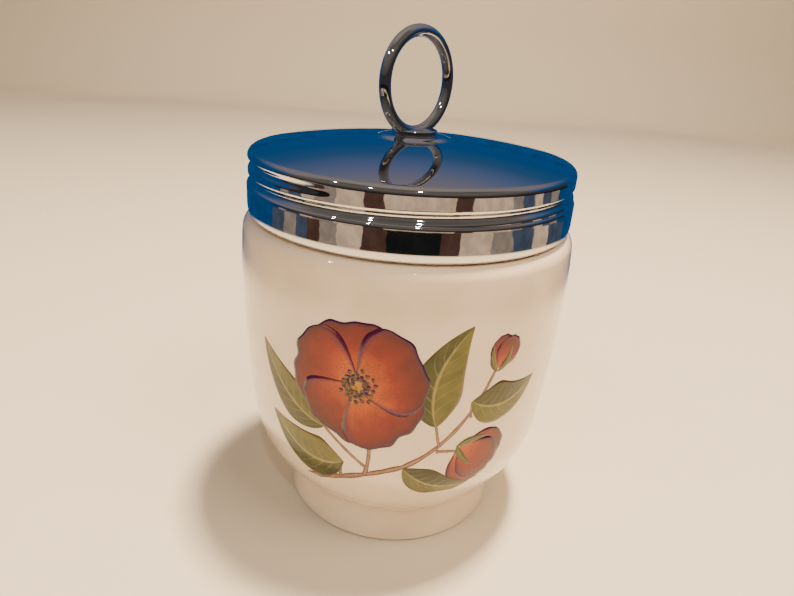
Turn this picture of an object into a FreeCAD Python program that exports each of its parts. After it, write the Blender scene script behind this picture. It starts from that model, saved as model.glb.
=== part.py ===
import FreeCAD, Part
import math
import os
import re

import Sketcher
from FreeCAD import Placement, Rotation, Vector

# Porcelain egg coddler: a footed cup with a rolled-thread metal cap and a lifting ring.
# Millimetres, +Z up, origin at the centre of the foot ring's resting face, front towards -Y.
# Heights called drop, rise, step or gap are taken from the face or edge that they name.

SIZES = {
    # cup, outside
    "foot_radius": 22.4,
    "foot_top_radius": 21.9,
    "foot_edge": 0.9,
    "foot_land": 1.6,
    "foot_fillet": 1.2,
    "recess_depth": 4.0,
    "bowl_radius": 24.0,
    "bowl_height": 24.0,
    "belly_radius": 31.5,
    "belly_height": 51.0,
    "flank_radius": 285.0,
    "upper_radius": 89.0,
    "shoulder_draw": 0.35,
    "neck_step": 3.35,
    "neck_fillet": 0.4,
    "neck_height": 11.08,
    # cup, inside
    "wall": 3.2,
    "neck_wall": 2.7,
    "inner_corner": 15.0,
    "floor_dip": 1.24,
    "throat_radius": 6.0,
    "throat_drop": 7.5,
    # screw thread, shared by the cup and the cap
    "thread_pitch": 2.75,
    "thread_gap": 0.26,
    "bead_rise": 0.8,
    "bead_turns": 1.2,
    "bead_drop": 1.9,
    "crest_gap": 0.4,
    "groove_depth": 0.55,
    "groove_radius": 1.0,
    "groove_turns": 1.25,
    "groove_drop": 0.66,
    "groove_azimuth": -110.0,
    "runout_turns": 0.09,
    # cap, pressed from sheet
    "sheet": 0.5,
    "edge_gap": 0.33,
    "rim_gap": 0.3,
    "dome_radius": 150.0,
    "cap_corner": 1.2,
    "skirt_step": 0.3,
    "skirt_round": 0.8,
    "skirt_height": 5.66,
    "edge_roll_height": 1.6,
    "edge_roll_depth": 0.4,
    "edge_round": 0.25,
    "hem_gap": 0.35,
    # raised seat in the middle of the dome
    "seat_rise": 0.43,
    "seat_radius": 4.8,
    "seat_foot_radius": 8.0,
    # lifting ring and its stud
    "ring_outer": 19.0,
    "ring_wire": 2.1,
    "ring_sink": 0.6,
    "ring_flat": 0.3,
    "ring_yaw": 49.0,
    "collar_radius": 4.2,
    "collar_height": 0.95,
    "collar_edge": 0.3,
    "shank_radius": 1.5,
    "shank_gap": 0.15,
    "washer_radius": 4.0,
    "washer_thickness": 0.6,
    "washer_gap": 0.18,
    "rivet_radius": 2.6,
    "rivet_height": 0.8,
}

doc = FreeCAD.newDocument("egg_coddler")
sheet = doc.addObject("Spreadsheet::Sheet", "Sizes")
for row, (alias, number) in enumerate(SIZES.items(), start=1):
    sheet.set(f"A{row}", alias)
    sheet.set(f"B{row}", str(number))
    sheet.setAlias(f"B{row}", alias)
doc.recompute()


def bound(formula):
    """The formula with each size's name written as a reference to the sheet."""
    return re.sub(r"[a-z]\w+", lambda word: "Sizes." + word[0] if word[0] in SIZES else word[0], formula)


def value(formula):
    """The formula's number, worked out from the sheet."""
    return float(sheet.evalExpression(bound(formula)))


# Heights and radii that more than one piece uses

NECK_RADIUS = "(belly_radius - neck_step)"
SHOULDER_RADIUS = "(neck_step - neck_fillet - shoulder_draw)"
SHOULDER_COSINE = f"(1 - shoulder_draw / (upper_radius - {SHOULDER_RADIUS}))"
SHOULDER_SINE = f"sqrt(1 - {SHOULDER_COSINE} ^ 2)"
SHOULDER_CENTRE = f"(belly_height + (upper_radius - {SHOULDER_RADIUS}) * {SHOULDER_SINE})"
SHOULDER_TOP = f"({SHOULDER_CENTRE} + {SHOULDER_RADIUS})"
RIM_TOP = f"({SHOULDER_TOP} + neck_height)"
RIM_RADIUS = f"({NECK_RADIUS} - neck_wall / 2)"

BAND_RADIUS = f"({NECK_RADIUS} + bead_rise + crest_gap + sheet)"
SKIRT_RADIUS = f"({BAND_RADIUS} + skirt_step)"
CAP_EDGE = f"({SHOULDER_TOP} + edge_gap)"
SKIRT_TOP = f"({CAP_EDGE} + skirt_height)"
DOME_CENTRE = f"({RIM_TOP} + rim_gap - sqrt((dome_radius - sheet) ^ 2 - {RIM_RADIUS} ^ 2))"
CORNER_CENTRE = (
    f"({DOME_CENTRE} + sqrt((dome_radius - cap_corner) ^ 2 - ({BAND_RADIUS} - cap_corner) ^ 2))"
)
DOME_APEX = f"({DOME_CENTRE} + dome_radius)"
SEAT_TOP = f"({DOME_APEX} + seat_rise)"
WASHER_TOP = f"({SEAT_TOP} - sheet - washer_gap)"
RIVET_TOP = f"({WASHER_TOP} - washer_thickness - washer_gap)"

GROOVE_TOP = f"({CORNER_CENTRE} - groove_drop)"
GROOVE_PATH = f"({BAND_RADIUS} + groove_radius - groove_depth)"
RIDGE_RADIUS = "(groove_radius + sheet)"
THREAD_OFFSET = (
    f"sqrt(({RIDGE_RADIUS} + bead_rise + thread_gap) ^ 2 - ({GROOVE_PATH} - {NECK_RADIUS}) ^ 2)"
)


def plane(body, role):
    """One of the body's own origin planes."""
    return next(item for item in body.Origin.OriginFeatures if item.Role == role)


def outline(body, name, corners, arcs=None):
    """A closed outline in the body's XZ plane, with every corner bound to the sheet.

    corners holds (radius, height) formulas in order. arcs maps a corner's index to the
    (radius formula, side) of the arc that leaves it: side 1 turns left, side -1 turns right.
    """
    arcs = arcs or {}
    sketch = body.newObject("Sketcher::SketchObject", name)
    sketch.AttachmentSupport = (plane(body, "XZ_Plane"), "")
    sketch.MapMode = "FlatFace"
    points = [Vector(value(radius), value(height), 0) for radius, height in corners]
    for index, start in enumerate(points):
        end = points[(index + 1) % len(points)]
        if index in arcs:
            radius, side = value(arcs[index][0]), arcs[index][1]
            chord = end - start
            reach = math.sqrt(max(radius ** 2 - chord.Length ** 2 / 4, 0))
            centre = (start + end) / 2 + Vector(-chord.y, chord.x, 0).normalize() * reach * side
            first, last = (start, end) if side > 0 else (end, start)
            angles = [math.atan2(spot.y - centre.y, spot.x - centre.x) for spot in (first, last)]
            circle = Part.Circle(centre, Vector(0, 0, 1), radius)
            sketch.addGeometry(Part.ArcOfCircle(circle, *angles))
        else:
            sketch.addGeometry(Part.LineSegment(start, end))
    for index, (radius, height) in enumerate(corners):
        here = 2 if index in arcs and arcs[index][1] < 0 else 1
        before = (index - 1) % len(corners)
        there = 1 if before in arcs and arcs[before][1] < 0 else 2
        sketch.addConstraint(Sketcher.Constraint("Coincident", before, there, index, here))
        for kind, formula, axis in (("DistanceX", radius, -2), ("DistanceY", height, -1)):
            if formula == "0":
                sketch.addConstraint(Sketcher.Constraint("PointOnObject", index, here, axis))
                continue
            number = sketch.addConstraint(Sketcher.Constraint(kind, -1, 1, index, here, value(formula)))
            sketch.renameConstraint(number, f"{kind}_{index}")
            sketch.setExpression(f"Constraints.{kind}_{index}", bound(formula))
        if index in arcs:
            number = sketch.addConstraint(Sketcher.Constraint("Radius", index, value(arcs[index][0])))
            sketch.renameConstraint(number, f"Arc_{index}")
            sketch.setExpression(f"Constraints.Arc_{index}", bound(arcs[index][0]))
    return sketch


def turned(name, corners, arcs=None):
    """A body turned from one outline about the Z axis."""
    body = doc.addObject("PartDesign::Body", name)
    sketch = outline(body, name + "_outline", corners, arcs)
    turning = body.newObject("PartDesign::Revolution", name + "_turning")
    turning.Profile = sketch
    turning.ReferenceAxis = (sketch, ["V_Axis"])
    turning.Angle = 360
    sketch.Visibility = False
    doc.recompute()
    return body


def joined(kind, name, base, tool):
    """A boolean of two objects: kind is Fuse, Cut or Common."""
    result = doc.addObject("Part::" + kind, name)
    result.Base = base
    result.Tool = tool
    return result


def thread_path(radius, top, azimuth, turns, runout):
    """A right-hand helix going down from its top end, as one smooth curve.

    runout moves both ends in or out of the wall, over the run-out's share of a turn.
    """
    pitch, fade = value("thread_pitch"), value("runout_turns")
    points_per_turn = 24
    count = math.ceil(turns * points_per_turn)
    points = []
    for index in range(count + 1):
        turn = turns * index / count
        to_end = min(turn, turns - turn)
        shift = runout * (1 + math.cos(math.pi * to_end / fade)) / 2 if to_end < fade else 0
        angle = math.radians(azimuth) - 2 * math.pi * turn
        reach = radius + shift
        points.append(Vector(reach * math.cos(angle), reach * math.sin(angle), top - pitch * turn))
    curve = Part.BSplineCurve()
    curve.interpolate(points)
    return curve


def swept(name, curve, section):
    """A solid swept along the curve. section makes closed edges from the start and two directions."""
    start = curve.value(curve.FirstParameter)
    along = curve.tangent(curve.FirstParameter)[0]
    outward = Vector(start.x, start.y, 0).normalize()
    across = (outward - along * outward.dot(along)).normalize()
    span_count = 4
    ends = [curve.LastParameter * index / span_count for index in range(span_count + 1)]
    spans = [curve.toShape(*span) for span in zip(ends, ends[1:])]
    shell = Part.BRepOffsetAPI.MakePipeShell(Part.Wire(spans))
    shell.setBiNormalMode(Vector(0, 0, 1))
    shell.add(Part.Wire(section(start, across, along.cross(across))))
    shell.build()
    shell.makeSolid()
    feature = doc.addObject("Part::Feature", name)
    feature.Shape = shell.shape()
    return feature


def round_section(radius):
    """A full circle about the path."""
    return lambda start, across, upward: [Part.Circle(start, across.cross(upward), radius).toShape()]


def crest_section(radius, depth):
    """The part of a circle about the path that lies further than depth inside it."""
    half = math.sqrt(radius ** 2 - depth ** 2)

    def edges(start, across, upward):
        low = start - across * depth - upward * half
        high = start - across * depth + upward * half
        crest = start - across * radius
        return [Part.Arc(low, crest, high).toShape(), Part.LineSegment(high, low).toShape()]

    return edges


# Cup: one porcelain solid, turned, with the thread bead fused to its neck

BOWL_SINE = "((belly_height - bowl_height) / flank_radius)"
BOWL_COSINE = f"sqrt(1 - {BOWL_SINE} ^ 2)"
FLANK_AXIS = "(belly_radius - flank_radius)"
BOWL_AXIS = f"({FLANK_AXIS} + (flank_radius - bowl_radius) * {BOWL_COSINE})"
BOWL_CENTRE = f"(belly_height - (flank_radius - bowl_radius) * {BOWL_SINE})"
FILLET_AXIS = "(foot_top_radius + foot_fillet)"
FILLET_HEIGHT = (
    f"({BOWL_CENTRE} - sqrt((bowl_radius + foot_fillet) ^ 2 - ({FILLET_AXIS} - {BOWL_AXIS}) ^ 2))"
)
FILLET_SHARE = "(bowl_radius / (bowl_radius + foot_fillet))"
FOOT_INSIDE = "(foot_radius - 2 * foot_edge - foot_land)"

CAVITY_RADIUS = "(belly_radius - wall)"
CORNER_SINE = f"((belly_height - bowl_height) / (flank_radius - wall))"
CORNER_COSINE = f"sqrt(1 - {CORNER_SINE} ^ 2)"
INNER_AXIS = f"({FLANK_AXIS} + (flank_radius - wall - inner_corner) * {CORNER_COSINE})"
INNER_CENTRE = f"(belly_height - (flank_radius - wall - inner_corner) * {CORNER_SINE})"
INNER_HEIGHT = "(inner_corner + floor_dip)"
FLOOR_HEIGHT = f"({INNER_CENTRE} - {INNER_HEIGHT})"
FLOOR_ARC = f"(({INNER_AXIS} ^ 2 + {INNER_HEIGHT} ^ 2 - inner_corner ^ 2) / (2 * floor_dip))"
FLOOR_SHARE = f"({FLOOR_ARC} / ({FLOOR_ARC} - inner_corner))"
THROAT_STEP = f"({CAVITY_RADIUS} - {NECK_RADIUS} + neck_wall)"
THROAT_HEIGHT = f"sqrt(4 * throat_radius * {THROAT_STEP} - {THROAT_STEP} ^ 2)"
THROAT_FOOT = f"({SHOULDER_TOP} - throat_drop)"

cup_corners = [
    ("0", "recess_depth"),
    (FOOT_INSIDE, "recess_depth"),
    (FOOT_INSIDE, "foot_edge"),
    (f"{FOOT_INSIDE} + foot_edge", "0"),
    ("foot_radius - foot_edge", "0"),
    ("foot_radius", "foot_edge"),
    ("foot_top_radius", FILLET_HEIGHT),
    (
        f"{BOWL_AXIS} + ({FILLET_AXIS} - {BOWL_AXIS}) * {FILLET_SHARE}",
        f"{BOWL_CENTRE} + ({FILLET_HEIGHT} - {BOWL_CENTRE}) * {FILLET_SHARE}",
    ),
    (f"{FLANK_AXIS} + flank_radius * {BOWL_COSINE}", f"belly_height - flank_radius * {BOWL_SINE}"),
    ("belly_radius", "belly_height"),
    (
        f"{NECK_RADIUS} + neck_fillet + {SHOULDER_RADIUS} * {SHOULDER_COSINE}",
        f"{SHOULDER_CENTRE} + {SHOULDER_RADIUS} * {SHOULDER_SINE}",
    ),
    (f"{NECK_RADIUS} + neck_fillet", SHOULDER_TOP),
    (NECK_RADIUS, f"{SHOULDER_TOP} + neck_fillet"),
    (NECK_RADIUS, f"{RIM_TOP} - neck_wall / 2"),
    (RIM_RADIUS, RIM_TOP),
    (f"{NECK_RADIUS} - neck_wall", f"{RIM_TOP} - neck_wall / 2"),
    (f"{NECK_RADIUS} - neck_wall", f"{THROAT_FOOT} + {THROAT_HEIGHT}"),
    (f"{CAVITY_RADIUS} - {THROAT_STEP} / 2", f"{THROAT_FOOT} + {THROAT_HEIGHT} / 2"),
    (CAVITY_RADIUS, THROAT_FOOT),
    (CAVITY_RADIUS, "belly_height"),
    (
        f"{INNER_AXIS} + inner_corner * {CORNER_COSINE}",
        f"{INNER_CENTRE} - inner_corner * {CORNER_SINE}",
    ),
    (
        f"{INNER_AXIS} * {FLOOR_SHARE}",
        f"{FLOOR_HEIGHT} + {FLOOR_ARC} + ({INNER_HEIGHT} - {FLOOR_ARC}) * {FLOOR_SHARE}",
    ),
    ("0", FLOOR_HEIGHT),
]
cup_arcs = {
    2: ("foot_edge", 1),
    4: ("foot_edge", 1),
    6: ("foot_fillet", -1),
    7: ("bowl_radius", 1),
    8: ("flank_radius", 1),
    9: ("upper_radius", 1),
    10: (SHOULDER_RADIUS, 1),
    11: ("neck_fillet", -1),
    13: ("neck_wall / 2", 1),
    14: ("neck_wall / 2", 1),
    16: ("throat_radius", -1),
    17: ("throat_radius", 1),
    19: ("flank_radius - wall", -1),
    20: ("inner_corner", -1),
    21: (FLOOR_ARC, -1),
}
cup_body = turned("cup_body", cup_corners, cup_arcs)

bead_lead = value(f"({GROOVE_TOP} + {THREAD_OFFSET} - {RIM_TOP} + bead_drop) / thread_pitch")
bead = swept(
    "neck_bead",
    thread_path(
        value(NECK_RADIUS),
        value(f"{RIM_TOP} - bead_drop"),
        value("groove_azimuth") - 360 * bead_lead,
        value("bead_turns"),
        -value("bead_rise + thread_gap"),
    ),
    round_section(value("bead_rise")),
)
cup = joined("Fuse", "cup", cup_body, bead)

# Cap: pressed sheet with a rolled edge, a wider skirt and a rolled thread groove

DOME_SINE = f"(({BAND_RADIUS} - cap_corner) / (dome_radius - cap_corner))"
DOME_COSINE = f"sqrt(1 - {DOME_SINE} ^ 2)"
SKIRT_RISE = "sqrt(skirt_step * (2 * skirt_round - skirt_step))"
EDGE_ROLL = "((edge_roll_depth ^ 2 + edge_roll_height ^ 2) / (2 * edge_roll_depth))"
SEAT_FOOT = f"({DOME_CENTRE} + sqrt(dome_radius ^ 2 - seat_foot_radius ^ 2))"
SEAT_RUN = "(seat_foot_radius - seat_radius)"
SEAT_ARC = f"(({SEAT_RUN} ^ 2 + ({SEAT_TOP} - {SEAT_FOOT}) ^ 2) / (4 * ({SEAT_TOP} - {SEAT_FOOT})))"
HEM_RADIUS = f"({NECK_RADIUS} + bead_rise + hem_gap)"

cap_corners = [
    (f"{SKIRT_RADIUS} - edge_roll_depth", CAP_EDGE),
    (SKIRT_RADIUS, f"{CAP_EDGE} + edge_roll_height"),
    (SKIRT_RADIUS, f"{SKIRT_TOP} - {SKIRT_RISE}"),
    (BAND_RADIUS, SKIRT_TOP),
    (BAND_RADIUS, CORNER_CENTRE),
    (f"dome_radius * {DOME_SINE}", f"{DOME_CENTRE} + dome_radius * {DOME_COSINE}"),
    ("seat_foot_radius", SEAT_FOOT),
    ("(seat_foot_radius + seat_radius) / 2", f"({SEAT_FOOT} + {SEAT_TOP}) / 2"),
    ("seat_radius", SEAT_TOP),
    ("shank_radius + shank_gap", SEAT_TOP),
    ("shank_radius + shank_gap", f"{SEAT_TOP} - sheet"),
    ("seat_radius", f"{SEAT_TOP} - sheet"),
    ("seat_foot_radius", f"{SEAT_FOOT} - sheet"),
    (
        f"(dome_radius - sheet) * {DOME_SINE}",
        f"{DOME_CENTRE} + (dome_radius - sheet) * {DOME_COSINE}",
    ),
    (f"{BAND_RADIUS} - sheet", CORNER_CENTRE),
    (f"{BAND_RADIUS} - sheet", f"{SKIRT_TOP} - skirt_step"),
    (f"{SKIRT_RADIUS} - sheet", f"{SKIRT_TOP} - 2 * skirt_step"),
    (f"{SKIRT_RADIUS} - sheet", f"{CAP_EDGE} + edge_roll_height"),
    (HEM_RADIUS, f"{CAP_EDGE} + edge_roll_height"),
    (HEM_RADIUS, f"{CAP_EDGE} + edge_round"),
    (f"{HEM_RADIUS} + edge_round", CAP_EDGE),
]
cap_arcs = {
    0: (EDGE_ROLL, 1),
    2: ("skirt_round", 1),
    4: ("cap_corner", 1),
    5: ("dome_radius", 1),
    6: (SEAT_ARC, -1),
    7: (SEAT_ARC, 1),
    12: ("dome_radius - sheet", -1),
    13: ("cap_corner - sheet", -1),
    19: ("edge_round", 1),
}
cap_body = turned("cap_body", cap_corners, cap_arcs)

groove_curve = thread_path(
    value(GROOVE_PATH),
    value(GROOVE_TOP),
    value("groove_azimuth"),
    value("groove_turns"),
    value("groove_depth + thread_gap"),
)
groove = swept("groove_roll", groove_curve, round_section(value("groove_radius")))
ridge_sweep = swept(
    "ridge_sweep",
    groove_curve,
    crest_section(value(RIDGE_RADIUS), value("groove_radius - groove_depth + 3 * sheet / 4")),
)
inner_half = doc.addObject("Part::Cylinder", "inner_half")
inner_half.setExpression("Radius", bound(f"{BAND_RADIUS} - sheet / 4"))
inner_half.setExpression("Height", bound(f"{CORNER_CENTRE} + dome_radius"))
ridge = joined("Common", "ridge_roll", ridge_sweep, inner_half)
cap_with_ridge = joined("Fuse", "cap_with_ridge", cap_body, ridge)
lid_cap = joined("Cut", "lid_cap", cap_with_ridge, groove)

# Lifting ring: round wire bent to a circle, ground flat where it is brazed to the stud

ring_wire = doc.addObject("Part::Torus", "ring_wire")
ring_wire.setExpression("Radius1", bound("(ring_outer - ring_wire) / 2"))
ring_wire.setExpression("Radius2", bound("ring_wire / 2"))
ring_wire.Placement = Placement(Vector(), Rotation(Vector(1, 0, 0), 90))
ring_wire.setExpression("Placement.Base.z", bound(f"{SEAT_TOP} - ring_sink + ring_outer / 2"))

below_flat = doc.addObject("Part::Box", "below_flat")
for side, formula in (("Length", "ring_outer"), ("Width", "ring_outer"), ("Height", "ring_outer / 4")):
    below_flat.setExpression(side, bound(formula))
below_flat.setExpression("Placement.Base.x", bound("-ring_outer / 2"))
below_flat.setExpression("Placement.Base.y", bound("-ring_outer / 2"))
below_flat.setExpression("Placement.Base.z", bound(f"{SEAT_TOP} + ring_flat - ring_outer / 4"))
lifting_ring = joined("Cut", "lifting_ring", ring_wire, below_flat)
lifting_ring.Placement = Placement(Vector(), Rotation(Vector(0, 0, 1), value("ring_yaw")))

# Ring stud: collar on the dome's seat, shank through the dome and washer, head closed below

stud_corners = [
    ("0", f"{RIVET_TOP} - rivet_height"),
    ("rivet_radius", RIVET_TOP),
    ("shank_radius", RIVET_TOP),
    ("shank_radius", SEAT_TOP),
    ("collar_radius", SEAT_TOP),
    ("collar_radius", f"{SEAT_TOP} + collar_height - collar_edge"),
    ("collar_radius - collar_edge", f"{SEAT_TOP} + collar_height"),
    ("0", f"{SEAT_TOP} + collar_height"),
]
stud_arcs = {0: ("(rivet_radius ^ 2 + rivet_height ^ 2) / (2 * rivet_height)", 1), 5: ("collar_edge", 1)}
stud_body = turned("stud_body", stud_corners, stud_arcs)
ring_stud = joined("Cut", "ring_stud", stud_body, lifting_ring)

# Rivet washer under the dome

washer_corners = [
    ("shank_radius + shank_gap", f"{WASHER_TOP} - washer_thickness"),
    ("washer_radius", f"{WASHER_TOP} - washer_thickness"),
    ("washer_radius", WASHER_TOP),
    ("shank_radius + shank_gap", WASHER_TOP),
]
rivet_washer = turned("rivet_washer", washer_corners)

doc.recompute()

pieces = {"cup": cup, "lid_cap": lid_cap, "lifting_ring": lifting_ring}
pieces.update({"ring_stud": ring_stud, "rivet_washer": rivet_washer})
for node, piece in pieces.items():
    piece.Label = node

failed = [item.Name for item in doc.Objects if {"Invalid", "Error"} & set(item.State)]
if failed:
    raise RuntimeError(f"failed features: {failed}")
for node, piece in pieces.items():
    shape = piece.Shape
    if shape.isNull() or not shape.isValid() or len(shape.Solids) != 1:
        raise RuntimeError(f"{node} is not one valid solid")

os.makedirs("parts", exist_ok=True)
for piece in pieces.values():
    piece.Shape.exportStep(f"parts/{piece.Label}.step")
    box = piece.Shape.BoundBox
    print(f"{piece.Label}: {piece.Shape.Volume:.1f} mm3, z {box.ZMin:.2f} to {box.ZMax:.2f}, r {box.XMax:.2f}")
print(f"rim top {value(RIM_TOP):.2f}, cap edge {value(CAP_EDGE):.2f}, seat top {value(SEAT_TOP):.2f}")
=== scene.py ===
"""Looks of a porcelain egg coddler: glazed cup, printed spray, chromed screw cap and lifting ring.

Sizes are in millimetres until a mesh is made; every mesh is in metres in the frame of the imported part.
Heights are above the foot's resting face, and the printed front faces -Y.
"""

import logging
import math
from dataclasses import dataclass, field
from enum import Enum
from functools import partialmethod
from typing import Callable, Iterable, Optional, Sequence

import bpy
import numpy as np
from mathutils import Matrix, Vector


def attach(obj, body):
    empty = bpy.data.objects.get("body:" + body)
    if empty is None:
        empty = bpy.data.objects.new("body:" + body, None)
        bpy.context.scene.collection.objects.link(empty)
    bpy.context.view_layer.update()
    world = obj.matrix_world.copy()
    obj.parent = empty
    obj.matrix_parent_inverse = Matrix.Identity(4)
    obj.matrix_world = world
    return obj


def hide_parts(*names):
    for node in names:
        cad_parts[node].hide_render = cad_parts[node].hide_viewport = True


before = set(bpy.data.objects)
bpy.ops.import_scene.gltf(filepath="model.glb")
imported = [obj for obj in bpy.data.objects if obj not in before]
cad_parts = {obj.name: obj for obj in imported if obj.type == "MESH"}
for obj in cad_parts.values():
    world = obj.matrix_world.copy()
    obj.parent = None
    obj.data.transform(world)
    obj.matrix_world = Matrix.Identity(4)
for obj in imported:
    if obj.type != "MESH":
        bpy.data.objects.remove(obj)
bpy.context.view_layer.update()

LOG = logging.getLogger("egg_coddler")
MM = 0.001
TAU = 2 * math.pi

Point = tuple[float, float]
Colour = tuple[float, float, float]


class Body(str, Enum):
    """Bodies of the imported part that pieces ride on."""

    CUP = "cup"
    LIFT = "lid_lift"
    LID = "lid"


class Slot(str, Enum):
    """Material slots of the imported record."""

    PORCELAIN = "porcelain"
    SHEET = "chrome_sheet"
    WIRE = "chrome_wire"
    WASHER = "washer_steel"


class Side(Enum):
    """Which way an arc turns, seen along the outline."""

    LEFT = 1
    RIGHT = -1


def srgb(red: int, green: int, blue: int) -> Colour:
    """A screen colour, 0 to 255 a channel, as linear light.

    Args:
        red: Red channel.
        green: Green channel.
        blue: Blue channel.

    Returns:
        Linear red, green and blue, 0 to 1.
    """
    def linear(channel: int) -> float:
        """One channel as linear light."""
        share = channel / 255
        return share / 12.92 if share <= 0.04045 else ((share + 0.055) / 1.055) ** 2.4

    return linear(red), linear(green), linear(blue)


def rgba(colour: Colour) -> tuple[float, float, float, float]:
    """The colour with full alpha."""
    return (*colour, 1.0)


# Outlines and turned meshes


class Outline:
    """An outline in the radius and height plane, built from lines and arcs."""

    def __init__(self, start: Point) -> None:
        """Starts the outline.

        Args:
            start: First point, radius and height in mm.
        """
        self.points: list[Point] = [start]

    def line(self, end: Point, step: float = 2.0) -> "Outline":
        """Adds a straight stretch.

        Args:
            end: Its last point.
            step: Longest gap between points along it, in mm.

        Returns:
            The outline itself.
        """
        start = self.points[-1]
        count = max(1, math.ceil(math.dist(start, end) / step))
        for index in range(1, count + 1):
            share = index / count
            self.points.append(tuple(a + (b - a) * share for a, b in zip(start, end)))
        return self

    def arc(self, end: Point, radius: float, side: Side, step: float = 0.5) -> "Outline":
        """Adds an arc of less than a half turn.

        Args:
            end: Its last point.
            radius: Its radius in mm.
            side: Which way it turns.
            step: Longest gap between points along it, in mm.

        Returns:
            The outline itself.
        """
        start = self.points[-1]
        across, rise = end[0] - start[0], end[1] - start[1]
        chord = math.hypot(across, rise)
        reach = math.sqrt(max(radius ** 2 - chord ** 2 / 4, 0)) * side.value
        centre = (
            (start[0] + end[0]) / 2 - rise / chord * reach,
            (start[1] + end[1]) / 2 + across / chord * reach,
        )
        first = math.atan2(start[1] - centre[1], start[0] - centre[0])
        sweep = 2 * math.asin(min(1, chord / 2 / radius)) * side.value
        count = max(3, math.ceil(abs(sweep) * radius / step), math.ceil(abs(sweep) / math.radians(6)))
        for index in range(1, count):
            angle = first + sweep * index / count
            self.points.append((centre[0] + radius * math.cos(angle), centre[1] + radius * math.sin(angle)))
        self.points.append(end)
        return self


def new_piece(name: str, vertices: Sequence, faces: Sequence) -> bpy.types.Object:
    """Makes an object at the origin from points in metres.

    Args:
        name: Name of the object and its mesh.
        vertices: Points in metres.
        faces: Faces as lists of point numbers.

    Returns:
        The object, linked to the scene and shaded smooth.
    """
    mesh = bpy.data.meshes.new(name)
    mesh.from_pydata([tuple(point) for point in vertices], [], faces)
    mesh.validate()
    mesh.shade_smooth()
    piece = bpy.data.objects.new(name, mesh)
    bpy.context.scene.collection.objects.link(piece)
    return piece


def turned(name: str, outline: Sequence[Point], columns: int, closed: bool = False) -> bpy.types.Object:
    """Turns an outline about the Z axis. Going anticlockwise, its right-hand side faces out.

    Args:
        name: Name of the piece.
        outline: Points of radius and height in mm.
        columns: Number of columns round the axis.
        closed: True where the last point joins the first.

    Returns:
        The piece.
    """
    vertices, rows = [], []
    for radius, height in outline:
        if radius < 1e-6:
            rows.append([len(vertices)])
            vertices.append((0, 0, height * MM))
            continue
        rows.append(list(range(len(vertices), len(vertices) + columns)))
        for column in range(columns):
            angle = TAU * column / columns
            vertices.append((radius * MM * math.cos(angle), radius * MM * math.sin(angle), height * MM))
    faces = []
    for low, high in zip(rows, rows[1:] + rows[:1] if closed else rows[1:]):
        for column in range(columns):
            after = (column + 1) % columns
            if len(low) == 1:
                faces.append((low[0], high[after], high[column]))
            elif len(high) == 1:
                faces.append((low[column], low[after], high[0]))
            else:
                faces.append((low[column], low[after], high[after], high[column]))
    return new_piece(name, vertices, faces)


# Node trees


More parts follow.
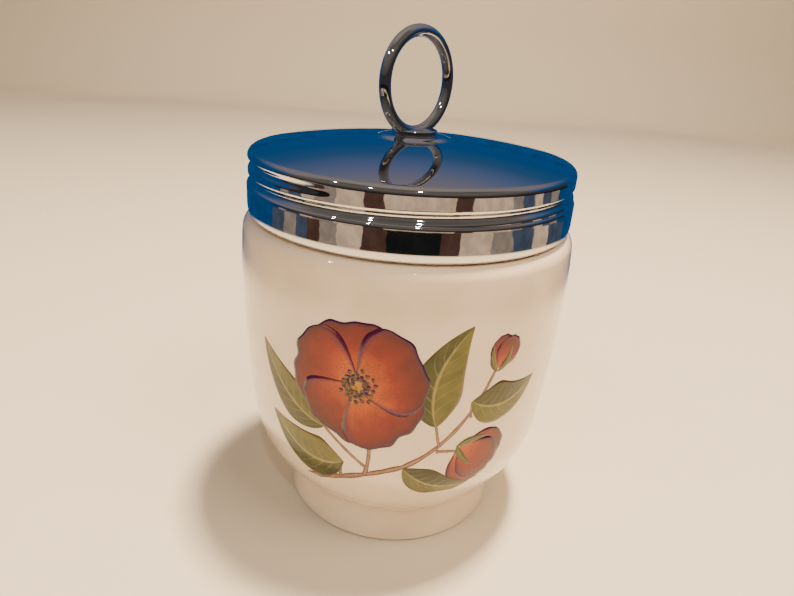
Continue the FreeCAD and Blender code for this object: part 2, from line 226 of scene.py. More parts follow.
class NodeMaths:
    """Adds nodes to a tree and wires them, with numbers and sockets mixed freely."""

    def __init__(self, tree: bpy.types.NodeTree) -> None:
        """Takes the tree.

        Args:
            tree: Geometry or shader node tree.
        """
        self.tree = tree

    def feed(self, socket: bpy.types.NodeSocket, source: object) -> None:
        """Gives an input its value or its link.

        Args:
            socket: The input.
            source: A number, a colour or an output socket.
        """
        if isinstance(source, bpy.types.NodeSocket):
            self.tree.links.new(source, socket)
        elif source is not None:
            socket.default_value = source

    def node(self, kind: str, inputs: Optional[dict] = None, **settings: object) -> bpy.types.Node:
        """Adds a node.

        Args:
            kind: Blender's name for the node type.
            inputs: Values or sockets by input name or number.
            **settings: Properties set on the node before its inputs.

        Returns:
            The node.
        """
        made = self.tree.nodes.new(kind)
        for name, setting in settings.items():
            setattr(made, name, setting)
        for key, source in (inputs or {}).items():
            self.feed(made.inputs[key], source)
        return made

    def maths(self, operation: str, *sources: object) -> bpy.types.NodeSocket:
        """Adds a maths node and returns its output."""
        return self.node("ShaderNodeMath", dict(enumerate(sources)), operation=operation).outputs[0]

    add = partialmethod(maths, "ADD")
    less = partialmethod(maths, "SUBTRACT")
    times = partialmethod(maths, "MULTIPLY")
    over = partialmethod(maths, "DIVIDE")
    times_add = partialmethod(maths, "MULTIPLY_ADD")

    def vector(self, x: object = None, y: object = None, z: object = None) -> bpy.types.NodeSocket:
        """A vector of three numbers or sockets."""
        return self.node("ShaderNodeCombineXYZ", {"X": x, "Y": y, "Z": z}).outputs["Vector"]

    def parts(self, vector: bpy.types.NodeSocket) -> bpy.types.NodeOutputs:
        """The X, Y and Z of a vector."""
        return self.node("ShaderNodeSeparateXYZ", {"Vector": vector}).outputs

    def smooth(
        self, source: object, low: float, high: float, start: float = 0, end: float = 1
    ) -> bpy.types.NodeSocket:
        """A smooth step.

        Args:
            source: What is read.
            low: Where the step starts.
            high: Where it ends.
            start: Result below low.
            end: Result above high.

        Returns:
            The result's socket.
        """
        inputs = {"Value": source, "From Min": low, "From Max": high, "To Min": start, "To Max": end}
        return self.node("ShaderNodeMapRange", inputs, interpolation_type="SMOOTHSTEP").outputs["Result"]

    def mix(self, factor: object, first: object, second: object, blend: str = "MIX") -> bpy.types.NodeSocket:
        """Mixes two colours.

        Args:
            factor: Share of the second.
            first: Colour or socket.
            second: Colour or socket.
            blend: Blend type.

        Returns:
            The mixed colour's socket.
        """
        mixer = self.node("ShaderNodeMix", data_type="RGBA", blend_type=blend)
        self.feed(mixer.inputs["Factor"], factor)
        colours = [socket for socket in mixer.inputs if socket.type == "RGBA"]
        for socket, source in zip(colours, (first, second)):
            self.feed(socket, source)
        return next(socket for socket in mixer.outputs if socket.type == "RGBA")

    def noise(
        self, vector: object, scale: float, detail: float = 3, roughness: float = 0.5
    ) -> bpy.types.NodeSocket:
        """Noise from 0 to 1 at a scale per unit of its vector."""
        inputs = {"Vector": vector, "Scale": scale, "Detail": detail, "Roughness": roughness}
        return self.node("ShaderNodeTexNoise", inputs).outputs["Fac"]

    def ramp(
        self, factor: object, stops: Iterable[tuple[float, Colour]], blend: str = "LINEAR"
    ) -> bpy.types.NodeSocket:
        """A colour ramp.

        Args:
            factor: What is read, 0 to 1.
            stops: Places and colours in order.
            blend: How it goes from stop to stop.

        Returns:
            The colour's socket.
        """
        node = self.node("ShaderNodeValToRGB", {"Fac": factor})
        node.color_ramp.interpolation = blend
        elements = node.color_ramp.elements
        stops = list(stops)
        while len(elements) < len(stops):
            elements.new(1.0)
        for element, (place, colour) in zip(elements, stops):
            element.position = place
            element.color = rgba(colour)
        return node.outputs["Color"]


def geometry_tree(name: str, inputs: dict[str, float]) -> tuple[NodeMaths, dict[str, bpy.types.NodeSocket]]:
    """Starts a geometry node tree with a geometry, some named sizes and a material as its inputs.

    Args:
        name: Name of the tree.
        inputs: Default value of each named size.

    Returns:
        The maths helper and the input sockets by name.
    """
    tree = bpy.data.node_groups.new(name, "GeometryNodeTree")
    tree.interface.new_socket("Geometry", in_out="INPUT", socket_type="NodeSocketGeometry")
    for label, default in inputs.items():
        socket = tree.interface.new_socket(label, in_out="INPUT", socket_type="NodeSocketFloat")
        socket.default_value = default
    tree.interface.new_socket("Material", in_out="INPUT", socket_type="NodeSocketMaterial")
    tree.interface.new_socket("Geometry", in_out="OUTPUT", socket_type="NodeSocketGeometry")
    maths = NodeMaths(tree)
    entry = maths.node("NodeGroupInput")
    return maths, {socket.name: socket for socket in entry.outputs if socket.name}


def close_tree(maths: NodeMaths, geometry: bpy.types.NodeSocket, material: bpy.types.NodeSocket) -> None:
    """Ends a tree in Realize Instances and Set Material.

    Args:
        maths: Helper of the tree.
        geometry: The finished geometry.
        material: The material's input.
    """
    real = maths.node("GeometryNodeRealizeInstances", {"Geometry": geometry})
    finish = {"Geometry": real.outputs["Geometry"], "Material": material}
    dressed = maths.node("GeometryNodeSetMaterial", finish)
    maths.node("NodeGroupOutput", {"Geometry": dressed.outputs["Geometry"]})


def grow(piece: bpy.types.Object, tree: bpy.types.NodeTree, values: dict[str, object]) -> bpy.types.Object:
    """Runs a geometry node tree on a piece and keeps the result as its plain mesh.

    Args:
        piece: The piece, whose mesh is the tree's input.
        tree: The tree.
        values: Value of each input, by its name.

    Returns:
        The piece.
    """
    modifier = piece.modifiers.new(tree.name, "NODES")
    modifier.node_group = tree
    for item in tree.interface.items_tree:
        if item.in_out == "INPUT" and item.name in values:
            modifier[item.identifier] = values[item.name]
    graph = bpy.context.evaluated_depsgraph_get()
    graph.update()
    mesh = bpy.data.meshes.new_from_object(piece.evaluated_get(graph))
    piece.modifiers.clear()
    spare, piece.data = piece.data, mesh
    mesh.name = piece.name
    bpy.data.meshes.remove(spare)
    mesh.shade_smooth()
    return piece


def hand_over(piece: bpy.types.Object, body: Body, slot: Slot, *nodes: str) -> bpy.types.Object:
    """Attaches a finished piece to its body and hides the CAD nodes that it stands for.

    Args:
        piece: The piece.
        body: The body it rides on.
        slot: The record's material slot; not used.
        *nodes: CAD nodes that it stands for.

    Returns:
        The piece.
    """
    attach(piece, body.value)
    if nodes:
        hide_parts(*nodes)
    LOG.info("%s: %d faces on %s", piece.name, len(piece.data.polygons), body.value)
    return piece


# Finishes


class Finish:
    """Base of the finishes: a material with one Principled shader and its helpers."""

    name: str = "finish"

    def material(self) -> bpy.types.Material:
        """Makes the material."""
        made = bpy.data.materials.new(self.name)
        made.use_nodes = True
        maths = NodeMaths(made.node_tree)
        shader = made.node_tree.nodes["Principled BSDF"]
        self.dress(maths, shader)
        return made

    def dress(self, maths: NodeMaths, shader: bpy.types.Node) -> None:
        """Wires the shader; each finish has its own."""
        raise NotImplementedError

    @staticmethod
    def place(maths: NodeMaths, kind: str = "Object") -> bpy.types.NodeSocket:
        """Where a point is, by the object's own coordinates or another kind."""
        return maths.node("ShaderNodeTexCoord").outputs[kind]

    @staticmethod
    def bump(
        maths: NodeMaths, shader: bpy.types.Node, height: object, strength: float, depth: float
    ) -> None:
        """Wires a bump into the shader's normal.

        Args:
            maths: Helper of the tree.
            shader: The shader.
            height: Height from 0 to 1.
            strength: Strength of the bump.
            depth: Height of a full step in metres.
        """
        node = maths.node("ShaderNodeBump", {"Height": height, "Strength": strength, "Distance": depth})
        maths.feed(shader.inputs["Normal"], node.outputs["Normal"])


@dataclass(frozen=True)
class GlazedPorcelain(Finish):
    """Warm white porcelain under clear glaze, bare on the foot's land."""

    name: str = "glazed_porcelain"
    body: Colour = srgb(236, 215, 190)
    pooled: Colour = srgb(228, 206, 178)
    bare: Colour = srgb(214, 192, 166)
    bare_height: float = 0.35
    gloss: float = 0.055

    def dress(self, maths: NodeMaths, shader: bpy.types.Node) -> None:
        """Mottles the body a little, dulls the foot's land and adds the glaze's soft waviness."""
        place = self.place(maths)
        height = maths.parts(place)["Z"]
        clouds = maths.noise(place, 90, 4, 0.55)
        glazed = maths.mix(maths.smooth(clouds, 0.35, 0.7), rgba(self.body), rgba(self.pooled))
        worn = maths.smooth(height, self.bare_height * MM * 0.4, self.bare_height * MM, 1, 0)
        maths.feed(shader.inputs["Base Color"], maths.mix(worn, glazed, rgba(self.bare)))
        specks = maths.smooth(maths.noise(place, 420, 2), 0.3, 0.75, self.gloss * 0.7, self.gloss * 1.3)
        rough = maths.add(specks, maths.times(worn, 0.45))
        maths.feed(shader.inputs["Roughness"], rough)
        shader.inputs["IOR"].default_value = 1.52
        shader.inputs["Subsurface Weight"].default_value = 0.12
        shader.inputs["Subsurface Radius"].default_value = (1.0, 0.8, 0.6)
        shader.inputs["Subsurface Scale"].default_value = 0.0015
        shader.inputs["Coat Weight"].default_value = 1.0
        shader.inputs["Coat Roughness"].default_value = 0.02
        waves = maths.noise(place, 130, 2, 0.4)
        self.bump(maths, shader, waves, 0.25, 0.00004)


@dataclass(frozen=True)
class MirrorChrome(Finish):
    """Mirror chrome plate with faint rubbing marks and handling smears."""

    name: str = "mirror_chrome"
    colour: Colour = srgb(220, 217, 215)
    clean: float = 0.035
    smeared: float = 0.11
    lines: float = 900.0

    def dress(self, maths: NodeMaths, shader: bpy.types.Node) -> None:
        """Sets the metal and lets smears and fine round-running lines soften its mirror."""
        place = self.place(maths)
        shader.inputs["Base Color"].default_value = rgba(self.colour)
        shader.inputs["Metallic"].default_value = 1.0
        smears = maths.smooth(maths.noise(place, 75, 5, 0.6), 0.52, 0.78, self.clean, self.smeared)
        height = maths.parts(place)["Z"]
        rings = maths.vector(z=height)
        rolled = maths.noise(rings, self.lines, 3, 0.7)
        rough = maths.add(smears, maths.smooth(rolled, 0.55, 0.8, 0, 0.03))
        maths.feed(shader.inputs["Roughness"], rough)
        ripples = maths.noise(place, 160, 2, 0.4)
        self.bump(maths, shader, ripples, 0.12, 0.00003)


@dataclass(frozen=True)
class DullSteel(Finish):
    """Plated washer steel with a fine turned grain."""

    name: str = "washer_steel"
    colour: Colour = srgb(196, 195, 193)

    def dress(self, maths: NodeMaths, shader: bpy.types.Node) -> None:
        """Sets the metal and varies its roughness."""
        place = self.place(maths)
        shader.inputs["Base Color"].default_value = rgba(self.colour)
        shader.inputs["Metallic"].default_value = 1.0
        sheen = maths.smooth(maths.noise(place, 500, 4), 0.3, 0.7, 0.22, 0.38)
        maths.feed(shader.inputs["Roughness"], sheen)
        self.bump(maths, shader, maths.noise(place, 2200, 2), 0.3, 0.00002)


@dataclass(frozen=True)
class PrintInk(Finish):
    """Base of the printed colours: all lie under the same glaze as the cup."""

    def glaze(self, maths: NodeMaths, shader: bpy.types.Node, colour: object) -> None:
        """Wires the ink's colour and the glaze over it.

        Args:
            maths: Helper of the tree.
            shader: The shader.
            colour: Socket of the ink's colour.
        """
        maths.feed(shader.inputs["Base Color"], colour)
        place = self.place(maths)
        grain = maths.noise(place, 2600, 2)
        maths.feed(shader.inputs["Roughness"], maths.smooth(grain, 0.3, 0.7, 0.10, 0.17))
        shader.inputs["IOR"].default_value = 1.52
        shader.inputs["Specular IOR Level"].default_value = 0.3
        shader.inputs["Coat Weight"].default_value = 0.3
        shader.inputs["Coat Roughness"].default_value = 0.03
        self.bump(maths, shader, maths.noise(place, 130, 2, 0.4), 0.25, 0.00004)

    def spread(self, maths: NodeMaths) -> tuple[object, object, object]:
        """How far along and across a motif a point is.

        Args:
            maths: Helper of the tree.

        Returns:
            Along from 0 to 1, across from 0 to 1, and the distance from its middle line, 0 to 1.
        """
        parts = maths.parts(self.place(maths, "UV"))
        along, across = parts["X"], parts["Y"]
        edge = maths.maths("ABSOLUTE", maths.times_add(across, 2, -1))
        return along, across, edge

    def washes(self, maths: NodeMaths, colour: object, scale: float, light: float, dark: float) -> object:
        """Uneven colour, as in a watercolour wash.

        Args:
            maths: Helper of the tree.
            colour: Socket of the colour.
            scale: Size of the patches per metre.
            light: Brightest factor.
            dark: Darkest factor.

        Returns:
            Socket of the uneven colour.
        """
        cloud = maths.noise(self.place(maths), scale, 5, 0.6)
        factor = maths.smooth(cloud, 0.3, 0.7, dark, light)
        grey = maths.vector(factor, factor, factor)
        return maths.mix(1.0, colour, grey, "MULTIPLY")


@dataclass(frozen=True)
class PetalInk(PrintInk):
    """Orange-red petal with a yellow throat, streaks and a purple rim."""

    name: str = "petal_ink"
    throat: Colour = srgb(176, 134, 40)
    orange: Colour = srgb(190, 82, 8)
    red: Colour = srgb(136, 28, 6)
    deep: Colour = srgb(92, 14, 8)
    rim: Colour = srgb(46, 20, 64)

    def dress(self, maths: NodeMaths, shader: bpy.types.Node) -> None:
        """Grades the petal from its throat to its rim and draws its streaks."""
        along, across, edge = self.spread(maths)
        tone = maths.node("ShaderNodeAttribute", attribute_name="tone").outputs["Fac"]
        wander = maths.noise(self.place(maths), 260, 4, 0.6)
        shifted = maths.times_add(maths.less(wander, 0.5), 0.35, along)
        shifted = maths.times_add(maths.less(tone, 0.5), 0.4, shifted)
        stops = [(0.0, self.throat), (0.2, self.orange), (0.52, self.red), (0.9, self.deep)]
        colour = maths.ramp(shifted, stops)
        lanes = maths.vector(maths.times(along, 2.2), across)
        streaks = maths.smooth(maths.noise(lanes, 26, 3, 0.6), 0.5, 0.68)
        fade = maths.smooth(along, 0.15, 0.9, 0.75, 0.25)
        colour = maths.mix(maths.times(streaks, fade), colour, rgba(self.deep))
        outer = maths.maths("MAXIMUM", maths.smooth(edge, 0.8, 1.0), maths.smooth(along, 0.9, 1.0))
        colour = maths.mix(maths.times(outer, 0.85), colour, rgba(self.rim))
        self.glaze(maths, shader, self.washes(maths, colour, 420, 1.12, 0.86))


@dataclass(frozen=True)
class LeafInk(PrintInk):
    """Olive leaf with a pale midrib, side veins and a browned edge."""

    name: str = "leaf_ink"
    light: Colour = srgb(112, 104, 34)
    olive: Colour = srgb(76, 76, 20)
    dark: Colour = srgb(38, 42, 12)
    vein: Colour = srgb(150, 138, 74)
    brown: Colour = srgb(104, 74, 48)
    veins: float = 8.0

    def dress(self, maths: NodeMaths, shader: bpy.types.Node) -> None:
        """Shades the two halves, then draws the veins and the edge."""
        along, across, edge = self.spread(maths)
        half = maths.smooth(across, 0.42, 0.58)
        wander = maths.noise(self.place(maths), 190, 4, 0.6)
        near = maths.ramp(wander, [(0.3, self.olive), (0.7, self.light)])
        far = maths.ramp(wander, [(0.3, self.dark), (0.72, self.olive)])
        colour = maths.mix(half, near, far)
        slant = maths.times_add(edge, -0.22, along)
        comb = maths.maths("PINGPONG", maths.times(slant, self.veins), 0.5)
        drawn = maths.smooth(comb, 0.0, 0.09, 1, 0)
        side = maths.times(drawn, maths.smooth(edge, 0.1, 0.95, 0.5, 0.08))
        colour = maths.mix(side, colour, rgba(self.vein))
        rib = maths.times(maths.smooth(edge, 0.03, 0.09, 1, 0), maths.smooth(along, 0.8, 1.0, 0.85, 0.2))
        colour = maths.mix(rib, colour, rgba(self.vein))
        outline = maths.maths("MAXIMUM", maths.smooth(edge, 0.86, 1.0), maths.smooth(along, 0.93, 1.0))
        colour = maths.mix(maths.times(outline, 0.75), colour, rgba(self.brown))
        self.glaze(maths, shader, self.washes(maths, colour, 520, 1.1, 0.88))


@dataclass(frozen=True)
class StemInk(PrintInk):
    """Brown twig, lighter along its middle."""

    name: str = "stem_ink"
    bark: Colour = srgb(98, 62, 48)
    lit: Colour = srgb(158, 116, 88)

    def dress(self, maths: NodeMaths, shader: bpy.types.Node) -> None:
        """Lights the middle of the twig."""
        edge = self.spread(maths)[2]
        colour = maths.mix(maths.smooth(edge, 0.2, 0.8), rgba(self.lit), rgba(self.bark))
        self.glaze(maths, shader, self.washes(maths, colour, 900, 1.15, 0.75))


@dataclass(frozen=True)
class HeartInk(PrintInk):
    """Dark purple and olive heart of a blossom and its anthers."""

    name: str = "heart_ink"
    middle: Colour = srgb(66, 40, 62)
    anther: Colour = srgb(112, 88, 44)

    def dress(self, maths: NodeMaths, shader: bpy.types.Node) -> None:
        """Mixes the two colours in small patches."""
        patches = maths.noise(self.place(maths), 1500, 3)
        colour = maths.mix(maths.smooth(patches, 0.45, 0.6), rgba(self.middle), rgba(self.anther))
        self.glaze(maths, shader, colour)


# Forms shared by the cup, its print and the cap


@dataclass(frozen=True)
class CupForm:
    """Sizes of the porcelain cup and the outline that follows from them."""

    foot_radius: float = 22.4
    foot_top_radius: float = 21.9
    foot_edge: float = 0.9
    foot_land: float = 1.6
    foot_fillet: float = 1.2
    recess_depth: float = 4.0
    recess_round: float = 1.2
    bowl_radius: float = 24.0
    bowl_height: float = 24.0
    belly_radius: float = 31.5
    belly_height: float = 51.0
    flank_radius: float = 285.0
    upper_radius: float = 89.0
    shoulder_draw: float = 0.35
    neck_step: float = 3.35
    neck_fillet: float = 0.4
    neck_height: float = 11.08
    wall: float = 3.2
    neck_wall: float = 2.7
    inner_corner: float = 15.0
    floor_dip: float = 1.24
    throat_radius: float = 6.0
    throat_drop: float = 7.5
    print_room: float = 0.05

    @property
    def neck_radius(self) -> float:
        """Radius of the neck between its bead's turns."""
        return self.belly_radius - self.neck_step

    @property
    def shoulder(self) -> tuple[float, float, float, float]:
        """Radius, lean cosine, lean sine and centre height of the shoulder's rounding."""
        radius = self.neck_step - self.neck_fillet - self.shoulder_draw
        cosine = 1 - self.shoulder_draw / (self.upper_radius - radius)
        sine = math.sqrt(1 - cosine ** 2)
        return radius, cosine, sine, self.belly_height + (self.upper_radius - radius) * sine

    @property
    def shoulder_top(self) -> float:
        """Height of the shoulder's highest line."""
        return self.shoulder[3] + self.shoulder[0]

    @property
    def rim_top(self) -> float:
        """Height of the rim."""
        return self.shoulder_top + self.neck_height

    @property
    def bowl(self) -> tuple[float, float, float, float]:
        """Lean sine, lean cosine, centre radius and centre height of the bowl's arc."""
        sine = (self.belly_height - self.bowl_height) / self.flank_radius
        cosine = math.sqrt(1 - sine ** 2)
        axis = self.belly_radius - self.flank_radius + (self.flank_radius - self.bowl_radius) * cosine
        return sine, cosine, axis, self.belly_height - (self.flank_radius - self.bowl_radius) * sine

    def radius_at(self, height: float) -> float:
        """Outer radius of the bowl and flanks at a height.

        Args:
            height: Height in mm, between the foot and the shoulder.

        Returns:
            The radius in mm.
        """
        sine, _, axis, centre = self.bowl
        if height < self.belly_height - self.flank_radius * sine:
            return axis + math.sqrt(max(self.bowl_radius ** 2 - (height - centre) ** 2, 0))
        bend = self.flank_radius if height < self.belly_height else self.upper_radius
        return self.belly_radius - bend + math.sqrt(bend ** 2 - (height - self.belly_height) ** 2)

    def outline(self, bead_step: float = 0.11) -> list[Point]:
        """Outline of the whole cup, from the middle of its underside to the middle of its floor.

        Args:
            bead_step: Gap between points where the bead rises, in mm.

        Returns:
            Points of radius and height in mm, drawn in by print_room where the outside is printed.
        """
        inside = self.foot_radius - 2 * self.foot_edge - self.foot_land
        recess = self.recess_round
        sine, cosine, axis, centre = self.bowl
        fillet_axis = self.foot_top_radius + self.foot_fillet
        fillet_reach = self.bowl_radius + self.foot_fillet
        fillet_height = centre - math.sqrt(fillet_reach ** 2 - (fillet_axis - axis) ** 2)
        share = self.bowl_radius / fillet_reach
        round_radius, lean, lift, round_centre = self.shoulder
        neck, rim = self.neck_radius, self.neck_wall / 2
        cavity = self.belly_radius - self.wall
        inner_sine = (self.belly_height - self.bowl_height) / (self.flank_radius - self.wall)
        inner_cosine = math.sqrt(1 - inner_sine ** 2)
        inner_bend = self.flank_radius - self.wall - self.inner_corner
        inner_axis = self.belly_radius - self.flank_radius + inner_bend * inner_cosine
        inner_centre = self.belly_height - inner_bend * inner_sine
        depth = self.inner_corner + self.floor_dip
        floor_bend = (inner_axis ** 2 + depth ** 2 - self.inner_corner ** 2) / (2 * self.floor_dip)
        floor_centre = inner_centre - depth + floor_bend
        floor_share = floor_bend / (floor_bend - self.inner_corner)
        step = cavity - neck + self.neck_wall
        throat = math.sqrt(4 * self.throat_radius * step - step ** 2)
        throat_foot = self.shoulder_top - self.throat_drop
        drawn = Outline((0, self.recess_depth))
        drawn.line((inside - recess, self.recess_depth))
        drawn.arc((inside, self.recess_depth - recess), recess, Side.RIGHT)
        drawn.line((inside, self.foot_edge))
        drawn.arc((inside + self.foot_edge, 0), self.foot_edge, Side.LEFT)
        drawn.line((self.foot_radius - self.foot_edge, 0))
        drawn.arc((self.foot_radius, self.foot_edge), self.foot_edge, Side.LEFT)
        drawn.line((self.foot_top_radius, fillet_height))
        bowl_foot = (axis + (fillet_axis - axis) * share, centre + (fillet_height - centre) * share)
        drawn.arc(bowl_foot, self.foot_fillet, Side.RIGHT)
        flank_foot = (
            self.belly_radius - self.flank_radius * (1 - cosine),
            self.belly_height - self.flank_radius * sine,
        )
        drawn.arc(flank_foot, self.bowl_radius, Side.LEFT)
        drawn.arc((self.belly_radius, self.belly_height), self.flank_radius, Side.LEFT, 1.0)
        shoulder_foot = (neck + self.neck_fillet + round_radius * lean, round_centre + round_radius * lift)
        drawn.arc(shoulder_foot, self.upper_radius, Side.LEFT, 1.0)
        drawn.arc((neck + self.neck_fillet, self.shoulder_top), round_radius, Side.LEFT, 0.2)
        drawn.arc((neck, self.shoulder_top + self.neck_fillet), self.neck_fillet, Side.RIGHT, 0.1)
        drawn.line((neck, self.rim_top - rim), bead_step)
        drawn.arc((neck - rim, self.rim_top), rim, Side.LEFT, 0.11)
        drawn.arc((neck - self.neck_wall, self.rim_top - rim), rim, Side.LEFT, 0.2)
        drawn.line((neck - self.neck_wall, throat_foot + throat))
        drawn.arc((cavity - step / 2, throat_foot + throat / 2), self.throat_radius, Side.RIGHT)
        drawn.arc((cavity, throat_foot), self.throat_radius, Side.LEFT)
        drawn.line((cavity, self.belly_height))
        inner_foot = (
            inner_axis + self.inner_corner * inner_cosine,
            inner_centre - self.inner_corner * inner_sine,
        )
        drawn.arc(inner_foot, self.flank_radius - self.wall, Side.RIGHT, 1.0)
        floor_edge = (inner_axis * floor_share, floor_centre + (inner_centre - floor_centre) * floor_share)
        drawn.arc(floor_edge, self.inner_corner, Side.RIGHT)
        drawn.arc((0, inner_centre - depth), floor_bend, Side.RIGHT, 1.0)
        return [self._drawn_in(point) for point in drawn.points]

    def _drawn_in(self, point: Point) -> Point:
        """Moves a point of the printed outside in by print_room."""
        radius, height = point
        printed = self.foot_edge < height < self.shoulder_top and radius > self.neck_radius - self.neck_wall
        outside = height > self.bowl_height or radius > self.radius_at(max(height, self.foot_edge)) - 1
        if printed and outside and radius > self.belly_radius - self.wall + 0.5:
            return radius - self.print_room, height
        return point


@dataclass(frozen=True)
class ThreadForm:
    """The screw thread that the cup's bead and the cap's groove share."""

    pitch: float = 2.75
    gap: float = 0.26
    bead_rise: float = 0.8
    bead_turns: float = 1.2
    bead_drop: float = 1.9
    bead_width: float = 0.92
    crest_gap: float = 0.4
    groove_depth: float = 0.55
    groove_radius: float = 1.0
    groove_turns: float = 1.25
    groove_drop: float = 0.66
    groove_width: float = 1.12
    groove_azimuth: float = -110.0
    runout: float = 0.09

    def tree(self) -> bpy.types.NodeTree:
        """Makes the tree that raises a bead or presses a groove along a right-hand helix in a turned wall.

        Returns:
            The tree. Its sizes are in metres, turns and radians.
        """
        sizes = {
            "Pitch": self.pitch * MM, "Top": 0.07, "Azimuth": 0.0, "Turns": 1.0, "Rise": 0.001,
            "Half Width": 0.001, "Run-out": self.runout, "Least Radius": 0.0,
        }
        maths, given = geometry_tree("rolled_thread", sizes)
        spot = maths.node("GeometryNodeInputPosition").outputs["Position"]
        parts = maths.parts(spot)
        angle = maths.maths("ARCTAN2", parts["Y"], parts["X"])
        share = maths.maths("FRACT", maths.over(maths.less(given["Azimuth"], angle), TAU))
        level = maths.over(maths.less(given["Top"], parts["Z"]), given["Pitch"])
        whole = maths.maths("ROUND", maths.less(level, share))
        turn = maths.add(share, whole)
        to_end = maths.maths("MINIMUM", turn, maths.less(given["Turns"], turn))
        fade = maths.smooth(to_end, 0.0, given["Run-out"])
        off = maths.times(maths.maths("ABSOLUTE", maths.less(level, turn)), given["Pitch"])
        inward = maths.maths("MINIMUM", maths.over(off, given["Half Width"]), 1.0)
        crest = maths.times_add(maths.maths("COSINE", maths.times(inward, math.pi)), 0.5, 0.5)
        radius = maths.maths("SQRT", maths.add(*[maths.maths("POWER", parts[key], 2.0) for key in "XY"]))
        height = maths.times(maths.times(given["Rise"], fade), crest)
        outer = maths.maths("GREATER_THAN", radius, given["Least Radius"])
        reach = maths.over(maths.times(height, outer), maths.maths("MAXIMUM", radius, 1e-6))
        offset = maths.vector(*[maths.times(parts[key], reach) for key in "XY"])
        moved = maths.node("GeometryNodeSetPosition", {"Geometry": given["Geometry"], "Offset": offset})
        close_tree(maths, moved.outputs["Geometry"], given["Material"])
        return maths.tree


